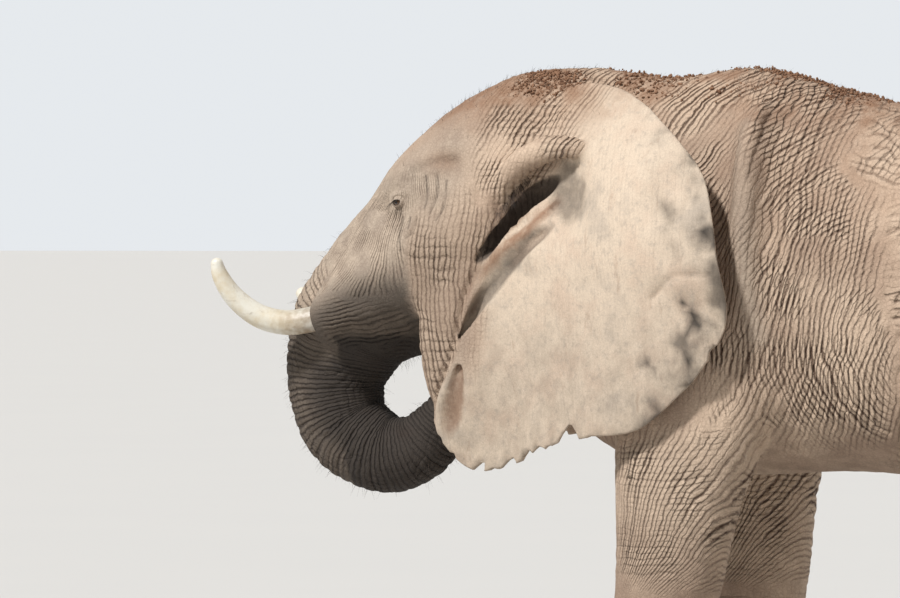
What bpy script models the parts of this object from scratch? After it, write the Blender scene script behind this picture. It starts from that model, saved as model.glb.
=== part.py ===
"""African bush elephant bull, life size, standing, its trunk curled back under the chin.

Metres, +Z up. The animal faces -Y and its left side is +X. The shapes are worked out in the
body frame, which has the forelegs' axis at Y 0 and the ground at Z 0; one empty then carries every
piece so that the middle of the whole box stands over the origin.

The flesh is one implicit surface: barrels, columns, tubes and blobs that flow into one another.
It is meshed once and parted with thin cuts, so that the pieces meet face to face.
"""

import math

import bmesh
import bpy
import numpy as np
from mathutils import Matrix, Vector

# Driving dimensions -------------------------------------------------------------------------------
GAP = 0.0003  # between neighbouring pieces
SHELL_GAP = 3 * GAP  # between the flesh and what is cut to meet it
STEEPEST = 4  # times that gap, at most, at the flesh's sharpest corners
BED_GAP = 3 * GAP  # round a faceted piece that is let into another one
GRID = 0.05  # spacing of the grid on which the flesh is meshed
FLESH_LOW = (-1.1, -2.3, -0.24)  # the grid's corners
FLESH_HIGH = (1.1, 2.9, 3.4)
FLESH_TRIANGLES = 2960  # left after the flesh is thinned
BLEND = 0.10  # how far one form flows into the next

SHOULDER_HEIGHT = 3.20
MIDDLE_Y = 0.3053  # middle of the whole box, which goes over the origin
# how far each foot stands behind its leg's line
STRIDES = {"foreleg_left": -0.14, "foreleg_right": 0.10, "hindleg_left": 0.13, "hindleg_right": -0.07}

EYE = Vector((0.372, -1.325, 2.625))
EYE_RADIUS = 0.024

EAR_THICKNESS_ROOT = 0.040
EAR_THICKNESS_RIM = 0.018
EAR_ROOT_Y = -1.0  # its sheet is thick in front of this
EAR_THINNING = 0.6  # and thin once this far behind it
EAR_MIDDLE = (-0.38, 2.32)  # Y, Z

# Stations of the forms, read along each one -------------------------------------------------------
# Y, top, bottom, half width
TORSO = [
    (-0.85, 3.10, 1.90, 0.29),
    (-0.55, 3.195, 1.61, 0.34),
    (-0.20, 3.165, 1.46, 0.43),
    (0.20, SHOULDER_HEIGHT, 1.45, 0.49),
    (0.60, 3.10, 1.47, 0.585),
    (1.00, 3.01, 1.45, 0.65),
    (1.45, 2.985, 1.40, 0.69),
    (1.90, 3.02, 1.43, 0.645),
    (2.20, 2.93, 1.62, 0.53),
    (2.45, 2.74, 1.86, 0.38),
    (2.60, 2.53, 2.05, 0.24),
    (2.67, 2.38, 2.20, 0.11),
]
# Z, X of the axis, Y of the axis, half width, half depth
FORELEG = [
    (-0.20, 0.415, -0.03, 0.255, 0.275),
    (0.00, 0.415, -0.03, 0.255, 0.275),
    (0.12, 0.415, -0.02, 0.245, 0.262),
    (0.28, 0.415, 0.00, 0.205, 0.212),
    (0.52, 0.42, 0.00, 0.188, 0.200),
    (0.80, 0.425, -0.02, 0.196, 0.215),
    (1.05, 0.435, 0.00, 0.208, 0.240),
    (1.30, 0.440, 0.01, 0.222, 0.268),
    (1.60, 0.425, 0.03, 0.232, 0.325),
    (1.95, 0.385, 0.06, 0.230, 0.380),
    (2.40, 0.320, 0.09, 0.210, 0.340),
]
HIND_LEG = [
    (-0.20, 0.375, 1.925, 0.200, 0.235),
    (0.00, 0.375, 1.925, 0.200, 0.235),
    (0.12, 0.375, 1.935, 0.190, 0.222),
    (0.28, 0.375, 1.975, 0.160, 0.178),
    (0.52, 0.385, 2.025, 0.160, 0.195),
    (0.80, 0.400, 2.000, 0.178, 0.225),
    (1.10, 0.410, 1.935, 0.208, 0.290),
    (1.40, 0.415, 1.925, 0.238, 0.375),
    (1.75, 0.400, 1.970, 0.255, 0.445),
    (2.15, 0.370, 2.010, 0.250, 0.450),
    (2.55, 0.320, 2.010, 0.220, 0.360),
]
# Y, Z of the axis, half width, half depth
FACE = [
    (-1.00, 2.66, 0.400, 0.410),
    (-1.28, 2.46, 0.385, 0.368),
    (-1.52, 2.27, 0.320, 0.302),
    (-1.68, 2.10, 0.265, 0.262),
]
TRUNK = [
    (-1.52, 2.27, 0.290, 0.288),
    (-1.70, 2.10, 0.250, 0.256),
    (-1.768, 1.93, 0.215, 0.235),
    (-1.775, 1.765, 0.195, 0.210),
    (-1.715, 1.620, 0.185, 0.196),
    (-1.545, 1.522, 0.170, 0.175),
    (-1.395, 1.545, 0.150, 0.152),
    (-1.29, 1.635, 0.130, 0.130),
    (-1.215, 1.73, 0.105, 0.105),
    (-1.16, 1.78, 0.085, 0.078),
]
JAW = [
    (-0.90, 2.16, 0.250, 0.260),
    (-1.15, 2.11, 0.200, 0.160),
    (-1.33, 2.06, 0.125, 0.100),
    (-1.43, 2.02, 0.075, 0.075),
]
# centre, half sizes, lean about X in degrees; each is made on both sides where its X isn't 0
BLOBS = [
    ((0.0, -0.76, 2.60), (0.36, 0.58, 0.60), 0),  # skull
    ((0.0, -1.13, 2.59), (0.36, 0.365, 0.365), 0),  # forehead
    ((0.15, -0.90, 2.70), (0.24, 0.36, 0.36), 0),  # crown
    ((0.260, -1.265, 2.71), (0.105, 0.115, 0.10), -10),  # brow
    ((0.33, -1.08, 2.46), (0.12, 0.30, 0.12), 10),  # cheek bone
    ((0.31, -0.95, 2.15), (0.12, 0.26, 0.44), 0),  # jaw muscle
    ((0.355, -1.05, 2.00), (0.055, 0.17, 0.42), 4),  # jowl
    ((0.38, 0.325, 2.50), (0.215, 0.085, 0.54), -2),  # shoulder blade's front edge
    ((0.36, 1.95, 2.62), (0.22, 0.26, 0.28), 0),  # hip
]
HOLLOWS = [
    ((0.475, -1.13, 2.775), (0.115, 0.14, 0.085), 0),  # temple
    ((0.0, -1.68, 2.76), (0.26, 0.145, 0.145), 0),  # root of the nose
    ((0.640, 0.455, 2.63), (0.115, 0.060, 0.28), 0),  # behind the blade's edge
]
SHEATH = [
    (0.20, -1.15, 2.36, 0.185),
    (0.245, -1.45, 2.245, 0.155),
    (0.285, -1.68, 2.135, 0.098),
]
TUSK = [
    (0.283, -1.60, 2.155, 0.057),
    (0.290, -1.74, 2.122, 0.057),
    (0.312, -1.88, 2.100, 0.056),
    (0.345, -2.00, 2.128, 0.053),
    (0.385, -2.10, 2.208, 0.046),
    (0.418, -2.156, 2.305, 0.036),
    (0.436, -2.170, 2.385, 0.022),
]
RIGHT_TUSK_WEAR = 0.27  # of its length, lost from the tip
TAIL = [
    (2.60, 2.52, 0.090),
    (2.70, 2.38, 0.070),
    (2.745, 2.15, 0.055),
    (2.76, 1.85, 0.045),
    (2.75, 1.55, 0.036),
    (2.74, 1.30, 0.030),
]
TUFT = [
    (2.74, 1.32, 0.033),
    (2.74, 1.20, 0.055),
    (2.745, 1.02, 0.060),
    (2.75, 0.86, 0.022),
]
# How far the ear's edge lies from its middle, by the angle round it (0 is back, 90 is up)
EAR_REACH = [
    (-180, 0.62),
    (-153, 0.74),
    (-147, 0.85),
    (-144, 0.93),
    (-138, 1.02),
    (-134, 1.037),
    (-125, 1.041),
    (-118.5, 0.96),
    (-112.6, 0.875),
    (-101, 0.745),
    (-86, 0.70),
    (-65, 0.72),
    (-50, 0.70),
    (-37, 0.70),
    (-18, 0.708),
    (8, 0.655),
    (31, 0.675),
    (64, 0.72),
    (88, 0.80),
    (104, 0.83),
    (127, 0.70),
    (148, 0.64),
    (180, 0.62),
]
EAR_TURN = {1: 0.0, -1: -8.0}  # degrees that each side's ear is turned about its middle
EAR_SIZE = {1: 1.0, -1: 0.95}
# The two deep tears in its lower edge: angle, depth, half width in degrees
EAR_TEARS = [(-120, 0.045, 7), (-96, 0.060, 7)]
EAR_AROUND = 60  # points round its edge
EAR_RINGS = 3


def flow(at, knots, values):
    """A smooth curve through the values: cubic spans whose slopes come from the neighbours."""
    knots = np.asarray(knots, float)
    values = np.asarray(values, float)
    slopes = np.gradient(values, knots)
    at = np.clip(at, knots[0], knots[-1])
    i = np.clip(np.searchsorted(knots, at) - 1, 0, len(knots) - 2)
    span = knots[i + 1] - knots[i]
    t = (at - knots[i]) / span
    ends = values[i] * (1 + 2 * t) * (1 - t) ** 2 + values[i + 1] * t * t * (3 - 2 * t)
    return ends + span * (slopes[i] * t * (1 - t) ** 2 - slopes[i + 1] * t * t * (1 - t))


def path(stations, samples=10):
    """The stations of a form, read as a smooth curve with this many samples between two of them."""
    rows = np.asarray(stations, float)
    knots = np.arange(len(rows))
    at = np.linspace(0, len(rows) - 1, (len(rows) - 1) * samples + 1)
    return np.stack([flow(at, knots, column) for column in rows.T], 1)


def smooth_min(a, b, reach):
    """The union of two forms that flow together over this reach."""
    h = np.clip(0.5 + 0.5 * (b - a) / reach, 0, 1)
    return b * (1 - h) + a * h - reach * h * (1 - h)


def radial(across, along, half_across, half_along, power=2.0):
    """Distance to a rounded section, measured from its middle."""
    q = (np.abs(across / half_across) ** power + np.abs(along / half_along) ** power) ** (1 / power)
    q = np.maximum(q, 1e-4)
    return np.hypot(across, along) * (1 - 1 / q) - np.where(q < 0.01, np.minimum(half_across, half_along), 0)


def barrel(p, stations, power=2.1):
    """A body along Y, from its top and bottom lines and its half width."""
    y, top, bottom, half = np.asarray(stations, float).T
    z_top, z_bottom, a = (flow(p[:, 1], y, v) for v in (top, bottom, half))
    side = radial(p[:, 0], p[:, 2] - (z_top + z_bottom) / 2, a, (z_top - z_bottom) / 2, power)
    return np.maximum(side, np.maximum(y[0] - p[:, 1], p[:, 1] - y[-1]))


def column(p, stations, side, stride):
    """A leg along Z; its foot stands a stride behind the line, and the stride fades upwards."""
    z, x, y, a, b = np.asarray(stations, float).T
    at = p[:, 2]
    shift = stride * np.clip(1 - at / 1.6, 0, 1)
    cross = p[:, 0] - side * flow(at, z, x)
    along = p[:, 1] - flow(at, z, y) - shift
    section = radial(cross, along, flow(at, z, a), flow(at, z, b))
    return np.maximum(section, np.maximum(z[0] - at, at - z[-1]))


def tube(p, stations):
    """A form that bends in the middle plane, from Y, Z, half width and half depth."""
    rows = path(stations)
    nearest = np.full(len(p), np.inf)
    a = np.zeros(len(p))
    b = np.zeros(len(p))
    for start, end in zip(rows[:-1], rows[1:]):
        line = end[:2] - start[:2]
        t = np.clip(((p[:, 1:] - start[:2]) @ line) / (line @ line), 0, 1)
        away = np.hypot(p[:, 1] - start[0] - t * line[0], p[:, 2] - start[1] - t * line[1])
        closer = away < nearest
        nearest = np.where(closer, away, nearest)
        a = np.where(closer, start[2] + t * (end[2] - start[2]), a)
        b = np.where(closer, start[3] + t * (end[3] - start[3]), b)
    return radial(p[:, 0], nearest, a, b)


def rod(p, stations, side):
    """A round form along any path, from X, Y, Z and radius."""
    rows = path(stations, 6) * (side, 1, 1, 1)
    f = np.full(len(p), np.inf)
    for start, end in zip(rows[:-1], rows[1:]):
        line = end[:3] - start[:3]
        t = np.clip(((p - start[:3]) @ line) / (line @ line), 0, 1)
        away = np.linalg.norm(p - start[:3] - t[:, None] * line, axis=1)
        f = np.minimum(f, away - start[3] - t * (end[3] - start[3]))
    return f


def blob(p, centre, sizes, lean, side):
    """An ellipsoid, leaned about the X axis."""
    c, s = math.cos(math.radians(lean)), math.sin(math.radians(lean))
    q = p - np.array(centre) * (side, 1, 1)
    q = np.stack([q[:, 0], c * q[:, 1] + s * q[:, 2], c * q[:, 2] - s * q[:, 1]], 1)
    scaled = np.linalg.norm(q / sizes, axis=1)
    steep = np.linalg.norm(q / np.square(sizes), axis=1)
    return scaled * (scaled - 1) / np.maximum(steep, 1e-6)


def flesh(p):
    """Signed distance, near enough, to the elephant without ears, tail, tusks, nails and eyes."""
    f = barrel(p, TORSO)
    for side, label in ((1, "left"), (-1, "right")):
        f = smooth_min(f, column(p, FORELEG, side, STRIDES[f"foreleg_{label}"]), 1.2 * BLEND)
        f = smooth_min(f, column(p, HIND_LEG, side, STRIDES[f"hindleg_{label}"]), 1.5 * BLEND)
    f = smooth_min(f, tube(p, FACE), BLEND)
    for centre, sizes, lean in BLOBS:
        for side in (1, -1) if centre[0] else (1,):
            f = smooth_min(f, blob(p, centre, sizes, lean, side), BLEND)
    for side in (1, -1):
        f = smooth_min(f, rod(p, SHEATH, side), 0.7 * BLEND)
        for centre, sizes, lean in HOLLOWS:
            f = -smooth_min(-f, blob(p, centre, sizes, lean, side), 0.8 * BLEND)
    f = smooth_min(f, tube(p, JAW), 0.5 * BLEND)
    return smooth_min(f, tube(p, TRUNK), 0.6 * BLEND)


def surface_net(field, low, high, step):
    """Meshes where a field is zero: one point in each grid cell the surface crosses, pulled onto it."""
    axes = [np.arange(low[k], high[k] + step, step) for k in range(3)]
    shape = tuple(len(axis) for axis in axes)
    grid = np.stack(np.meshgrid(*axes, indexing="ij"), -1).reshape(-1, 3)
    inside = (field(grid) < 0).reshape(shape)
    near = [slice(0, -1), slice(1, None)]
    corners = sum(
        inside[near[i], near[j], near[k]].astype(int) for i in (0, 1) for j in (0, 1) for k in (0, 1)
    )
    number = np.full(corners.shape, -1)
    crossed = np.nonzero((corners > 0) & (corners < 8))
    number[crossed] = np.arange(len(crossed[0]))
    points = np.stack([axes[k][crossed[k]] + step / 2 for k in range(3)], 1)
    quads = []
    for k in range(3):
        others = [m for m in range(3) if m != k]
        lower = [slice(1, -1)] * 3
        lower[k] = slice(0, -1)
        upper = list(lower)
        upper[k] = slice(1, None)
        starts, ends = inside[tuple(lower)], inside[tuple(upper)]
        edge = np.array(np.nonzero(starts != ends))
        edge[others[0]] += 1
        edge[others[1]] += 1
        ring = []
        for back in ((1, 1), (0, 1), (0, 0), (1, 0)):
            cell = edge.copy()
            cell[others[0]] -= back[0]
            cell[others[1]] -= back[1]
            ring.append(number[tuple(cell)])
        ring = np.stack(ring, 1)
        here = edge.copy()
        out = inside[tuple(here)] if k != 1 else ~inside[tuple(here)]
        quads.append(np.where(out[:, None], ring, ring[:, ::-1]))
    quads = np.concatenate(quads)
    for _ in range(4):
        points = pulled(field, points, step / 2)
    return points, quads


def pulled(field, points, limit):
    """The points moved along the field's slope to where it is zero."""
    nudge = 0.002
    value = field(points)
    slope = np.stack([(field(points + nudge * axis) - value) / nudge for axis in np.eye(3)], 1)
    move = -value[:, None] * slope / np.maximum((slope**2).sum(1), 0.1)[:, None]
    return points + np.clip(move, -limit, limit)


# Pieces -------------------------------------------------------------------------------------------
def finish(name, colour, roughness):
    """A plain material of one colour."""
    made = bpy.data.materials.new(name)
    made.use_nodes = True
    shader = made.node_tree.nodes["Principled BSDF"]
    shader.inputs["Base Color"].default_value = (*colour, 1)
    shader.inputs["Roughness"].default_value = roughness
    return made


def mesh_object(name, points, faces, material=None, parent=None):
    """A named object from points and faces, with its faces turned outwards."""
    mesh = bpy.data.meshes.new(name)
    mesh.from_pydata([tuple(point) for point in points], [], [tuple(face) for face in faces])
    body = bmesh.new()
    body.from_mesh(mesh)
    bmesh.ops.recalc_face_normals(body, faces=body.faces)
    body.to_mesh(mesh)
    body.free()
    made = bpy.data.objects.new(name, mesh)
    bpy.context.collection.objects.link(made)
    made.parent = parent
    if material:
        mesh.materials.append(material)
        mesh.shade_smooth()
        mesh.set_sharp_from_angle(angle=math.radians(50))
    return made


def guide(made):
    """Marks an object that only shapes others."""
    made.hide_render = True
    made.display_type = "WIRE"
    return made


def cut(target, cutter, operation="DIFFERENCE"):
    """A live Boolean on the target."""
    modifier = target.modifiers.new(cutter.name, "BOOLEAN")
    modifier.operation = operation
    modifier.object = cutter
    modifier.solver = "EXACT"


def applied(made, name):
    """The mesh of an object as its modifiers leave it."""
    depsgraph = bpy.context.evaluated_depsgraph_get()
    mesh = bpy.data.meshes.new_from_object(made.evaluated_get(depsgraph))
    mesh.name = name
    return mesh


def sheet_side(y, z):
    """How far out the ear's middle surface hangs: it swings back from the head and leans in above."""
    back = np.clip((y + 1.02) / 1.0, 0, 1)
    swing = 0.36 * back * back * (3 - 2 * back)
    lean = 0.34 * np.clip((z - 2.35) / 0.78, 0, 1) ** 1.7
    wave = 0.018 * np.sin(5.5 * z + 2.0 * y) * back
    return 0.385 + swing - lean + wave


def ear_edge(angle):
    """The reach of the ear's edge at an angle in degrees, less the tears in its lower stretch."""
    angles, reach = np.array(EAR_REACH, float).T
    edge = flow(angle, angles, reach)
    for middle, depth, half in EAR_TEARS:
        edge = edge - depth * np.clip(1 - np.abs(angle - middle) / half, 0, 1) ** 0.7
    return edge


def ear(name, side, skin, parent):
    """A curved sheet round its middle, thick at the root and thin at the rim, closed all round."""
    angle = np.arange(EAR_AROUND) * 360 / EAR_AROUND - 180
    share = np.linspace(0, 1, EAR_RINGS + 1)[1:] ** 0.8
    turn, out = np.meshgrid(np.radians(angle), share, indexing="ij")
    reach = out * EAR_SIZE[side] * ear_edge(angle)[:, None]
    turn = turn + math.radians(EAR_TURN[side])
    y = EAR_MIDDLE[0] + reach * np.cos(turn)
    z = EAR_MIDDLE[1] + reach * np.sin(turn)
    thin = np.clip((y - EAR_ROOT_Y) / EAR_THINNING, 0, 1)
    thick = EAR_THICKNESS_ROOT + (EAR_THICKNESS_RIM - EAR_THICKNESS_ROOT) * thin
    size = 1 + EAR_AROUND * EAR_RINGS  # points of one face

    def at(start, i, j):
        """The number of the point at one angle and ring of the face that starts here."""
        return start + 1 + (i % EAR_AROUND) * EAR_RINGS + j

    faces = []
    points = []
    for start, face in ((0, 1), (size, -1)):
        x = sheet_side(y, z) + face * thick / 2
        middle = sheet_side(*EAR_MIDDLE) + face * EAR_THICKNESS_RIM / 2
        points += [(side * middle, *EAR_MIDDLE)]
        points += [(side * a, b, c) for a, b, c in zip(x.ravel(), y.ravel(), z.ravel())]
        for i in range(EAR_AROUND):
            faces.append((start, at(start, i, 0), at(start, i + 1, 0)))
            for j in range(EAR_RINGS - 1):
                inner, outer = (at(start, i, j), at(start, i + 1, j)), (at(start, i, j + 1), at(start, i + 1, j + 1))
                faces.append((inner[0], outer[0], outer[1], inner[1]))
    for i in range(EAR_AROUND):
        a, b = at(0, i, EAR_RINGS - 1), at(0, i + 1, EAR_RINGS - 1)
        faces.append((a, b, b + size, a + size))
    return mesh_object(name, points, faces, skin, parent)


def swept(name, rows, material, parent, sides=8):
    """A round piece along a path of X, Y, Z and radius, closed at both ends by a point."""
    spine = rows[:, :3]
    ahead = np.gradient(spine, axis=0)
    ahead /= np.linalg.norm(ahead, axis=1)[:, None]
    across = np.cross(ahead, (0.2, 0.1, 1.0))
    across /= np.linalg.norm(across, axis=1)[:, None]
    up = np.cross(across, ahead)
    turn = np.arange(sides) * math.tau / sides
    ring = np.cos(turn)[None, :, None] * across[:, None] + np.sin(turn)[None, :, None] * up[:, None]
    skin = (spine[:, None] + rows[:, 3, None, None] * ring).reshape(-1, 3)
    ends = [spine[0] - 0.3 * rows[0, 3] * ahead[0], spine[-1] + 0.5 * rows[-1, 3] * ahead[-1]]
    last = (len(rows) - 1) * sides
    faces = [
        (i * sides + j, i * sides + (j + 1) % sides, (i + 1) * sides + (j + 1) % sides, (i + 1) * sides + j)
        for i in range(len(rows) - 1)
        for j in range(sides)
    ]
    tip = len(skin)
    faces += [(tip, (j + 1) % sides, j) for j in range(sides)]
    faces += [(tip + 1, last + j, last + (j + 1) % sides) for j in range(sides)]
    return mesh_object(name, [*skin, *ends], faces, material, parent)


def worn(rows, share):
    """A path with this share of its length taken off its tip, which stays as blunt as it was."""
    at = np.linspace(0, 1, len(rows))
    kept = np.stack([np.interp(at * (1 - share), at, column) for column in rows.T], 1)
    kept[:, 3] *= 1 - 0.4 * at**5
    kept[-1, 3] = rows[-1, 3]
    return kept


def ball(name, centre, sizes, turn, material, parent, detail=2):
    """An ellipsoid of triangles, turned about Z."""
    body = bmesh.new()
    bmesh.ops.create_icosphere(body, subdivisions=detail, radius=1)
    bmesh.ops.transform(
        body,
        verts=body.verts,
        matrix=Matrix.Translation(centre) @ Matrix.Rotation(turn, 4, "Z") @ Matrix.Diagonal((*sizes, 1)),
    )
    points = [tuple(v.co) for v in body.verts]
    faces = [[v.index for v in f.verts] for f in body.faces]
    body.free()
    return mesh_object(name, points, faces, material, parent)


def prism(name, outline, low, high, parent, inset=GAP / 2):
    """A zone: a convex outline in the YZ plane, carried from one X to another, drawn in by half a gap."""
    ring = [Vector(point) for point in outline]
    middle = sum(ring, Vector((0, 0))) / len(ring)
    drawn = []
    for i, point in enumerate(ring):
        before, after = (point - ring[i - 1]).normalized(), (ring[(i + 1) % len(ring)] - point).normalized()
        normals = [Vector((-edge.y, edge.x)) for edge in (before, after)]
        normals = [n if n.dot(middle - point) > 0 else -n for n in normals]
        bisector = (normals[0] + normals[1]).normalized()
        drawn.append(point + bisector * inset / bisector.dot(normals[0]))
    n = len(drawn)
    points = [(x, *point) for x in (low + inset, high - inset) for point in drawn]
    faces = [range(n), range(n, 2 * n)] + [(i, (i + 1) % n, n + (i + 1) % n, n + i) for i in range(n)]
    return guide(mesh_object(name, points, faces, None, parent))


# Zones that part the flesh, as outlines in the YZ plane --------------------------------------------
WIDE = 1.3  # beyond every piece
LEG_REACH = 1.0  # of a leg's zones before and behind its axis
JAW_HALF_WIDTH = 0.17
TRUNK_HALF_WIDTH = 0.175  # of the zone of its lower part, which lies between the jaw's sides
TRUNK_ROOT = (-1.53, 1.94)  # where trunk, jaw and head meet, behind the trunk
TRUNK_BEND = (-1.45, 1.76)  # in the open middle of the curl
HEAD_ZONE = [(-0.42, 3.5), (-0.72, 1.2), (-2.6, 1.2), (-2.6, 3.5)]
TRUNK_UPPER_ZONE = [(-2.4, 2.20), TRUNK_ROOT, TRUNK_BEND, (-2.4, 1.70)]
TRUNK_MIDDLE_ZONE = [(-2.4, 1.70), TRUNK_BEND, (-1.43, 1.2), (-2.4, 1.2)]
TRUNK_LOWER_ZONE = [TRUNK_BEND, (-1.43, 1.2), (-0.90, 1.2), (-0.90, 1.89), (-1.30, 1.875)]
JAW_ZONE = [(-1.572, 2.035), (-1.12, 2.15), (-1.12, 1.90), (-1.40, 1.865), (-1.4967, 1.865)]
NECK_ZONE = [(-0.42, 3.5), (-0.72, 1.2), (-0.52, 1.2), (-0.12, 3.5)]
CHEST_ZONE = [(-0.12, 3.5), (-0.4957, 1.34), (0.75, 1.34), (0.75, 3.5)]
BELLY_ZONE = [(0.75, 3.5), (0.75, 1.2), (1.36, 1.2), (1.36, 3.5)]
RUMP_ZONE = [(1.36, 3.5), (1.36, 1.24), (2.9, 1.24), (2.9, 3.5)]
FORELEG_CUTS = (("upper", 1.34, 0.80), ("lower", 0.80, 0.26), ("foot", 0.26, -GAP / 2))
HIND_LEG_CUTS = (("upper", 1.24, 0.66), ("lower", 0.66, 0.24), ("foot", 0.24, -GAP / 2))

# Nails: angle round the foot from straight ahead, in degrees
FORE_NAILS = (-57, -20, 18, 54)
HIND_NAILS = (-42, 0, 42)
NAIL_SIZES = (0.050, 0.024, 0.052)
NAIL_HEIGHT = 0.064
GROUND_STATION = 1  # of a leg: the one at the ground


def flesh_mesh(skin):
    """The whole body meshed as one closed surface and thinned; its twin is a gap larger."""
    points, quads = surface_net(flesh, FLESH_LOW, FLESH_HIGH, GRID)
    whole = guide(mesh_object("flesh_whole", points, quads))
    whole.modifiers.new("thin", "DECIMATE").ratio = FLESH_TRIANGLES / (2 * len(quads))
    mesh = applied(whole, "flesh")
    bpy.data.objects.remove(whole)
    mesh.materials.append(skin)
    larger = mesh.copy()
    body = bmesh.new()
    body.from_mesh(larger)
    body.normal_update()
    moves = [v.normal * SHELL_GAP * min(v.calc_shell_factor(), STEEPEST) for v in body.verts]
    for v, move in zip(body.verts, moves):
        v.co += move
    body.to_mesh(larger)
    body.free()
    return mesh, larger


def fleshy(name, mesh, zone, parent, cutters=()):
    """A piece of the flesh: what lies in its zone, less what the cutters take."""
    made = bpy.data.objects.new(name, mesh)
    bpy.context.collection.objects.link(made)
    made.parent = parent
    cut(made, zone, "INTERSECT")
    for cutter in cutters:
        cut(made, cutter)
    return made


def leg(name, stations, side, cuts, nails, mesh, horn, parent):
    """One leg in three lengths, and the nails let into the front of its foot."""
    label = "left" if side > 0 else "right"
    stride = STRIDES[f"{name}_{label}"]
    low, high = sorted((0.0, side * WIDE))
    _, x, y, a, b = stations[GROUND_STATION]
    beds = []
    for number, turn in enumerate(nails, 1):
        angle = math.radians(turn)
        centre = (side * (x + a * math.sin(angle)), y + stride - b * math.cos(angle), NAIL_HEIGHT)
        shape = dict(centre=centre, turn=side * angle, parent=parent, detail=1)
        nail = f"toenail_{name}_{label}_{number}"
        ball(nail, sizes=NAIL_SIZES, material=horn, **shape)
        larger = tuple(size + BED_GAP for size in NAIL_SIZES)
        beds.append(guide(ball(nail + "_bed", sizes=larger, material=None, **shape)))
    for part_name, top, bottom in cuts:
        outline = [(y - LEG_REACH, top), (y + LEG_REACH, top), (y + LEG_REACH, bottom), (y - LEG_REACH, bottom)]
        zone = prism(f"{name}_{label}_{part_name}_zone", outline, low, high, parent)
        fleshy(f"{name}_{label}_{part_name}", mesh, zone, parent, beds if part_name == "foot" else ())


def main():
    for thing in list(bpy.data.objects):
        bpy.data.objects.remove(thing)
    skin = finish("skin", (0.32, 0.235, 0.17), 0.85)
    ivory = finish("ivory", (0.78, 0.70, 0.55), 0.4)
    horn = finish("horn", (0.42, 0.34, 0.26), 0.6)
    wet = finish("eye", (0.06, 0.03, 0.015), 0.1)
    hair = finish("hair", (0.05, 0.04, 0.035), 0.6)
    animal = bpy.data.objects.new("elephant", None)
    bpy.context.collection.objects.link(animal)

    mesh, larger = flesh_mesh(skin)
    shell = guide(bpy.data.objects.new("flesh_larger", larger))
    bpy.context.collection.objects.link(shell)
    shell.parent = animal

    trunk_zones = {
        "trunk_upper": prism("trunk_upper_zone", TRUNK_UPPER_ZONE, -WIDE, WIDE, animal),
        "trunk_middle": prism("trunk_middle_zone", TRUNK_MIDDLE_ZONE, -WIDE, WIDE, animal),
        "trunk_lower": prism("trunk_lower_zone", TRUNK_LOWER_ZONE, -TRUNK_HALF_WIDTH, TRUNK_HALF_WIDTH, animal),
        "lower_jaw": prism("lower_jaw_zone", JAW_ZONE, -JAW_HALF_WIDTH, JAW_HALF_WIDTH, animal),
    }
    for name, zone in trunk_zones.items():
        fleshy(name, mesh, zone, animal)
    around_trunk = [
        prism("around_trunk_upper", TRUNK_UPPER_ZONE, -WIDE, WIDE, animal, -GAP / 2),
        prism("around_trunk_middle", TRUNK_MIDDLE_ZONE, -WIDE, WIDE, animal, -GAP / 2),
        prism("around_trunk_lower", TRUNK_LOWER_ZONE, -TRUNK_HALF_WIDTH, TRUNK_HALF_WIDTH, animal, -GAP / 2),
        prism("around_jaw", JAW_ZONE, -JAW_HALF_WIDTH, JAW_HALF_WIDTH, animal, -GAP / 2),
    ]

    pockets = []
    for side, label in ((1, "left"), (-1, "right")):
        mirror = Vector((side, 1, 1))
        ball(f"eye_{label}", EYE * mirror, (EYE_RADIUS,) * 3, 0, wet, animal)
        pocket = (EYE_RADIUS + BED_GAP,) * 3
        pockets.append(guide(ball(f"socket_{label}", EYE * mirror, pocket, 0, None, animal)))
        tusk = path(TUSK, 2) * (side, 1, 1, 1)
        if side < 0:
            tusk = worn(tusk, RIGHT_TUSK_WEAR)
        swept(f"tusk_{label}", tusk, ivory, animal)
        pockets.append(guide(swept(f"tusk_hole_{label}", tusk + (0, 0, 0, BED_GAP), None, animal)))
        cut(ear(f"ear_{label}", side, skin, animal), shell)
        leg("foreleg", FORELEG, side, FORELEG_CUTS, FORE_NAILS, mesh, horn, animal)
        leg("hindleg", HIND_LEG, side, HIND_LEG_CUTS, HIND_NAILS, mesh, horn, animal)

    fleshy("head", mesh, prism("head_zone", HEAD_ZONE, -WIDE, WIDE, animal), animal, around_trunk + pockets)
    for name, outline in (
        ("neck", NECK_ZONE),
        ("chest", CHEST_ZONE),
        ("belly", BELLY_ZONE),
        ("rump", RUMP_ZONE),
    ):
        fleshy(name, mesh, prism(f"{name}_zone", outline, -WIDE, WIDE, animal), animal)

    tail, tuft = (np.insert(path(rows, 2), 0, 0.0, axis=1) for rows in (TAIL, TUFT))
    swept("tail_tuft", tuft, hair, animal)
    bed = guide(swept("tuft_bed", tuft + (0, 0, 0, BED_GAP), None, animal))
    whole_tail = swept("tail", tail, skin, animal)
    cut(whole_tail, shell)
    cut(whole_tail, bed)
    animal.location.y = -MIDDLE_Y


if __name__ == "__main__":
    main()
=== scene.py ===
"""Skin, eyes, tusks, nails and hair of a standing African bush elephant bull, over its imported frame.

The animal faces -Y and its left side is +X. Shapes are worked out in the body frame, whose Y 0 is
the line of the forelegs; the frame's left eye says how far that lies from the model's own origin.
"""

import math

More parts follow.
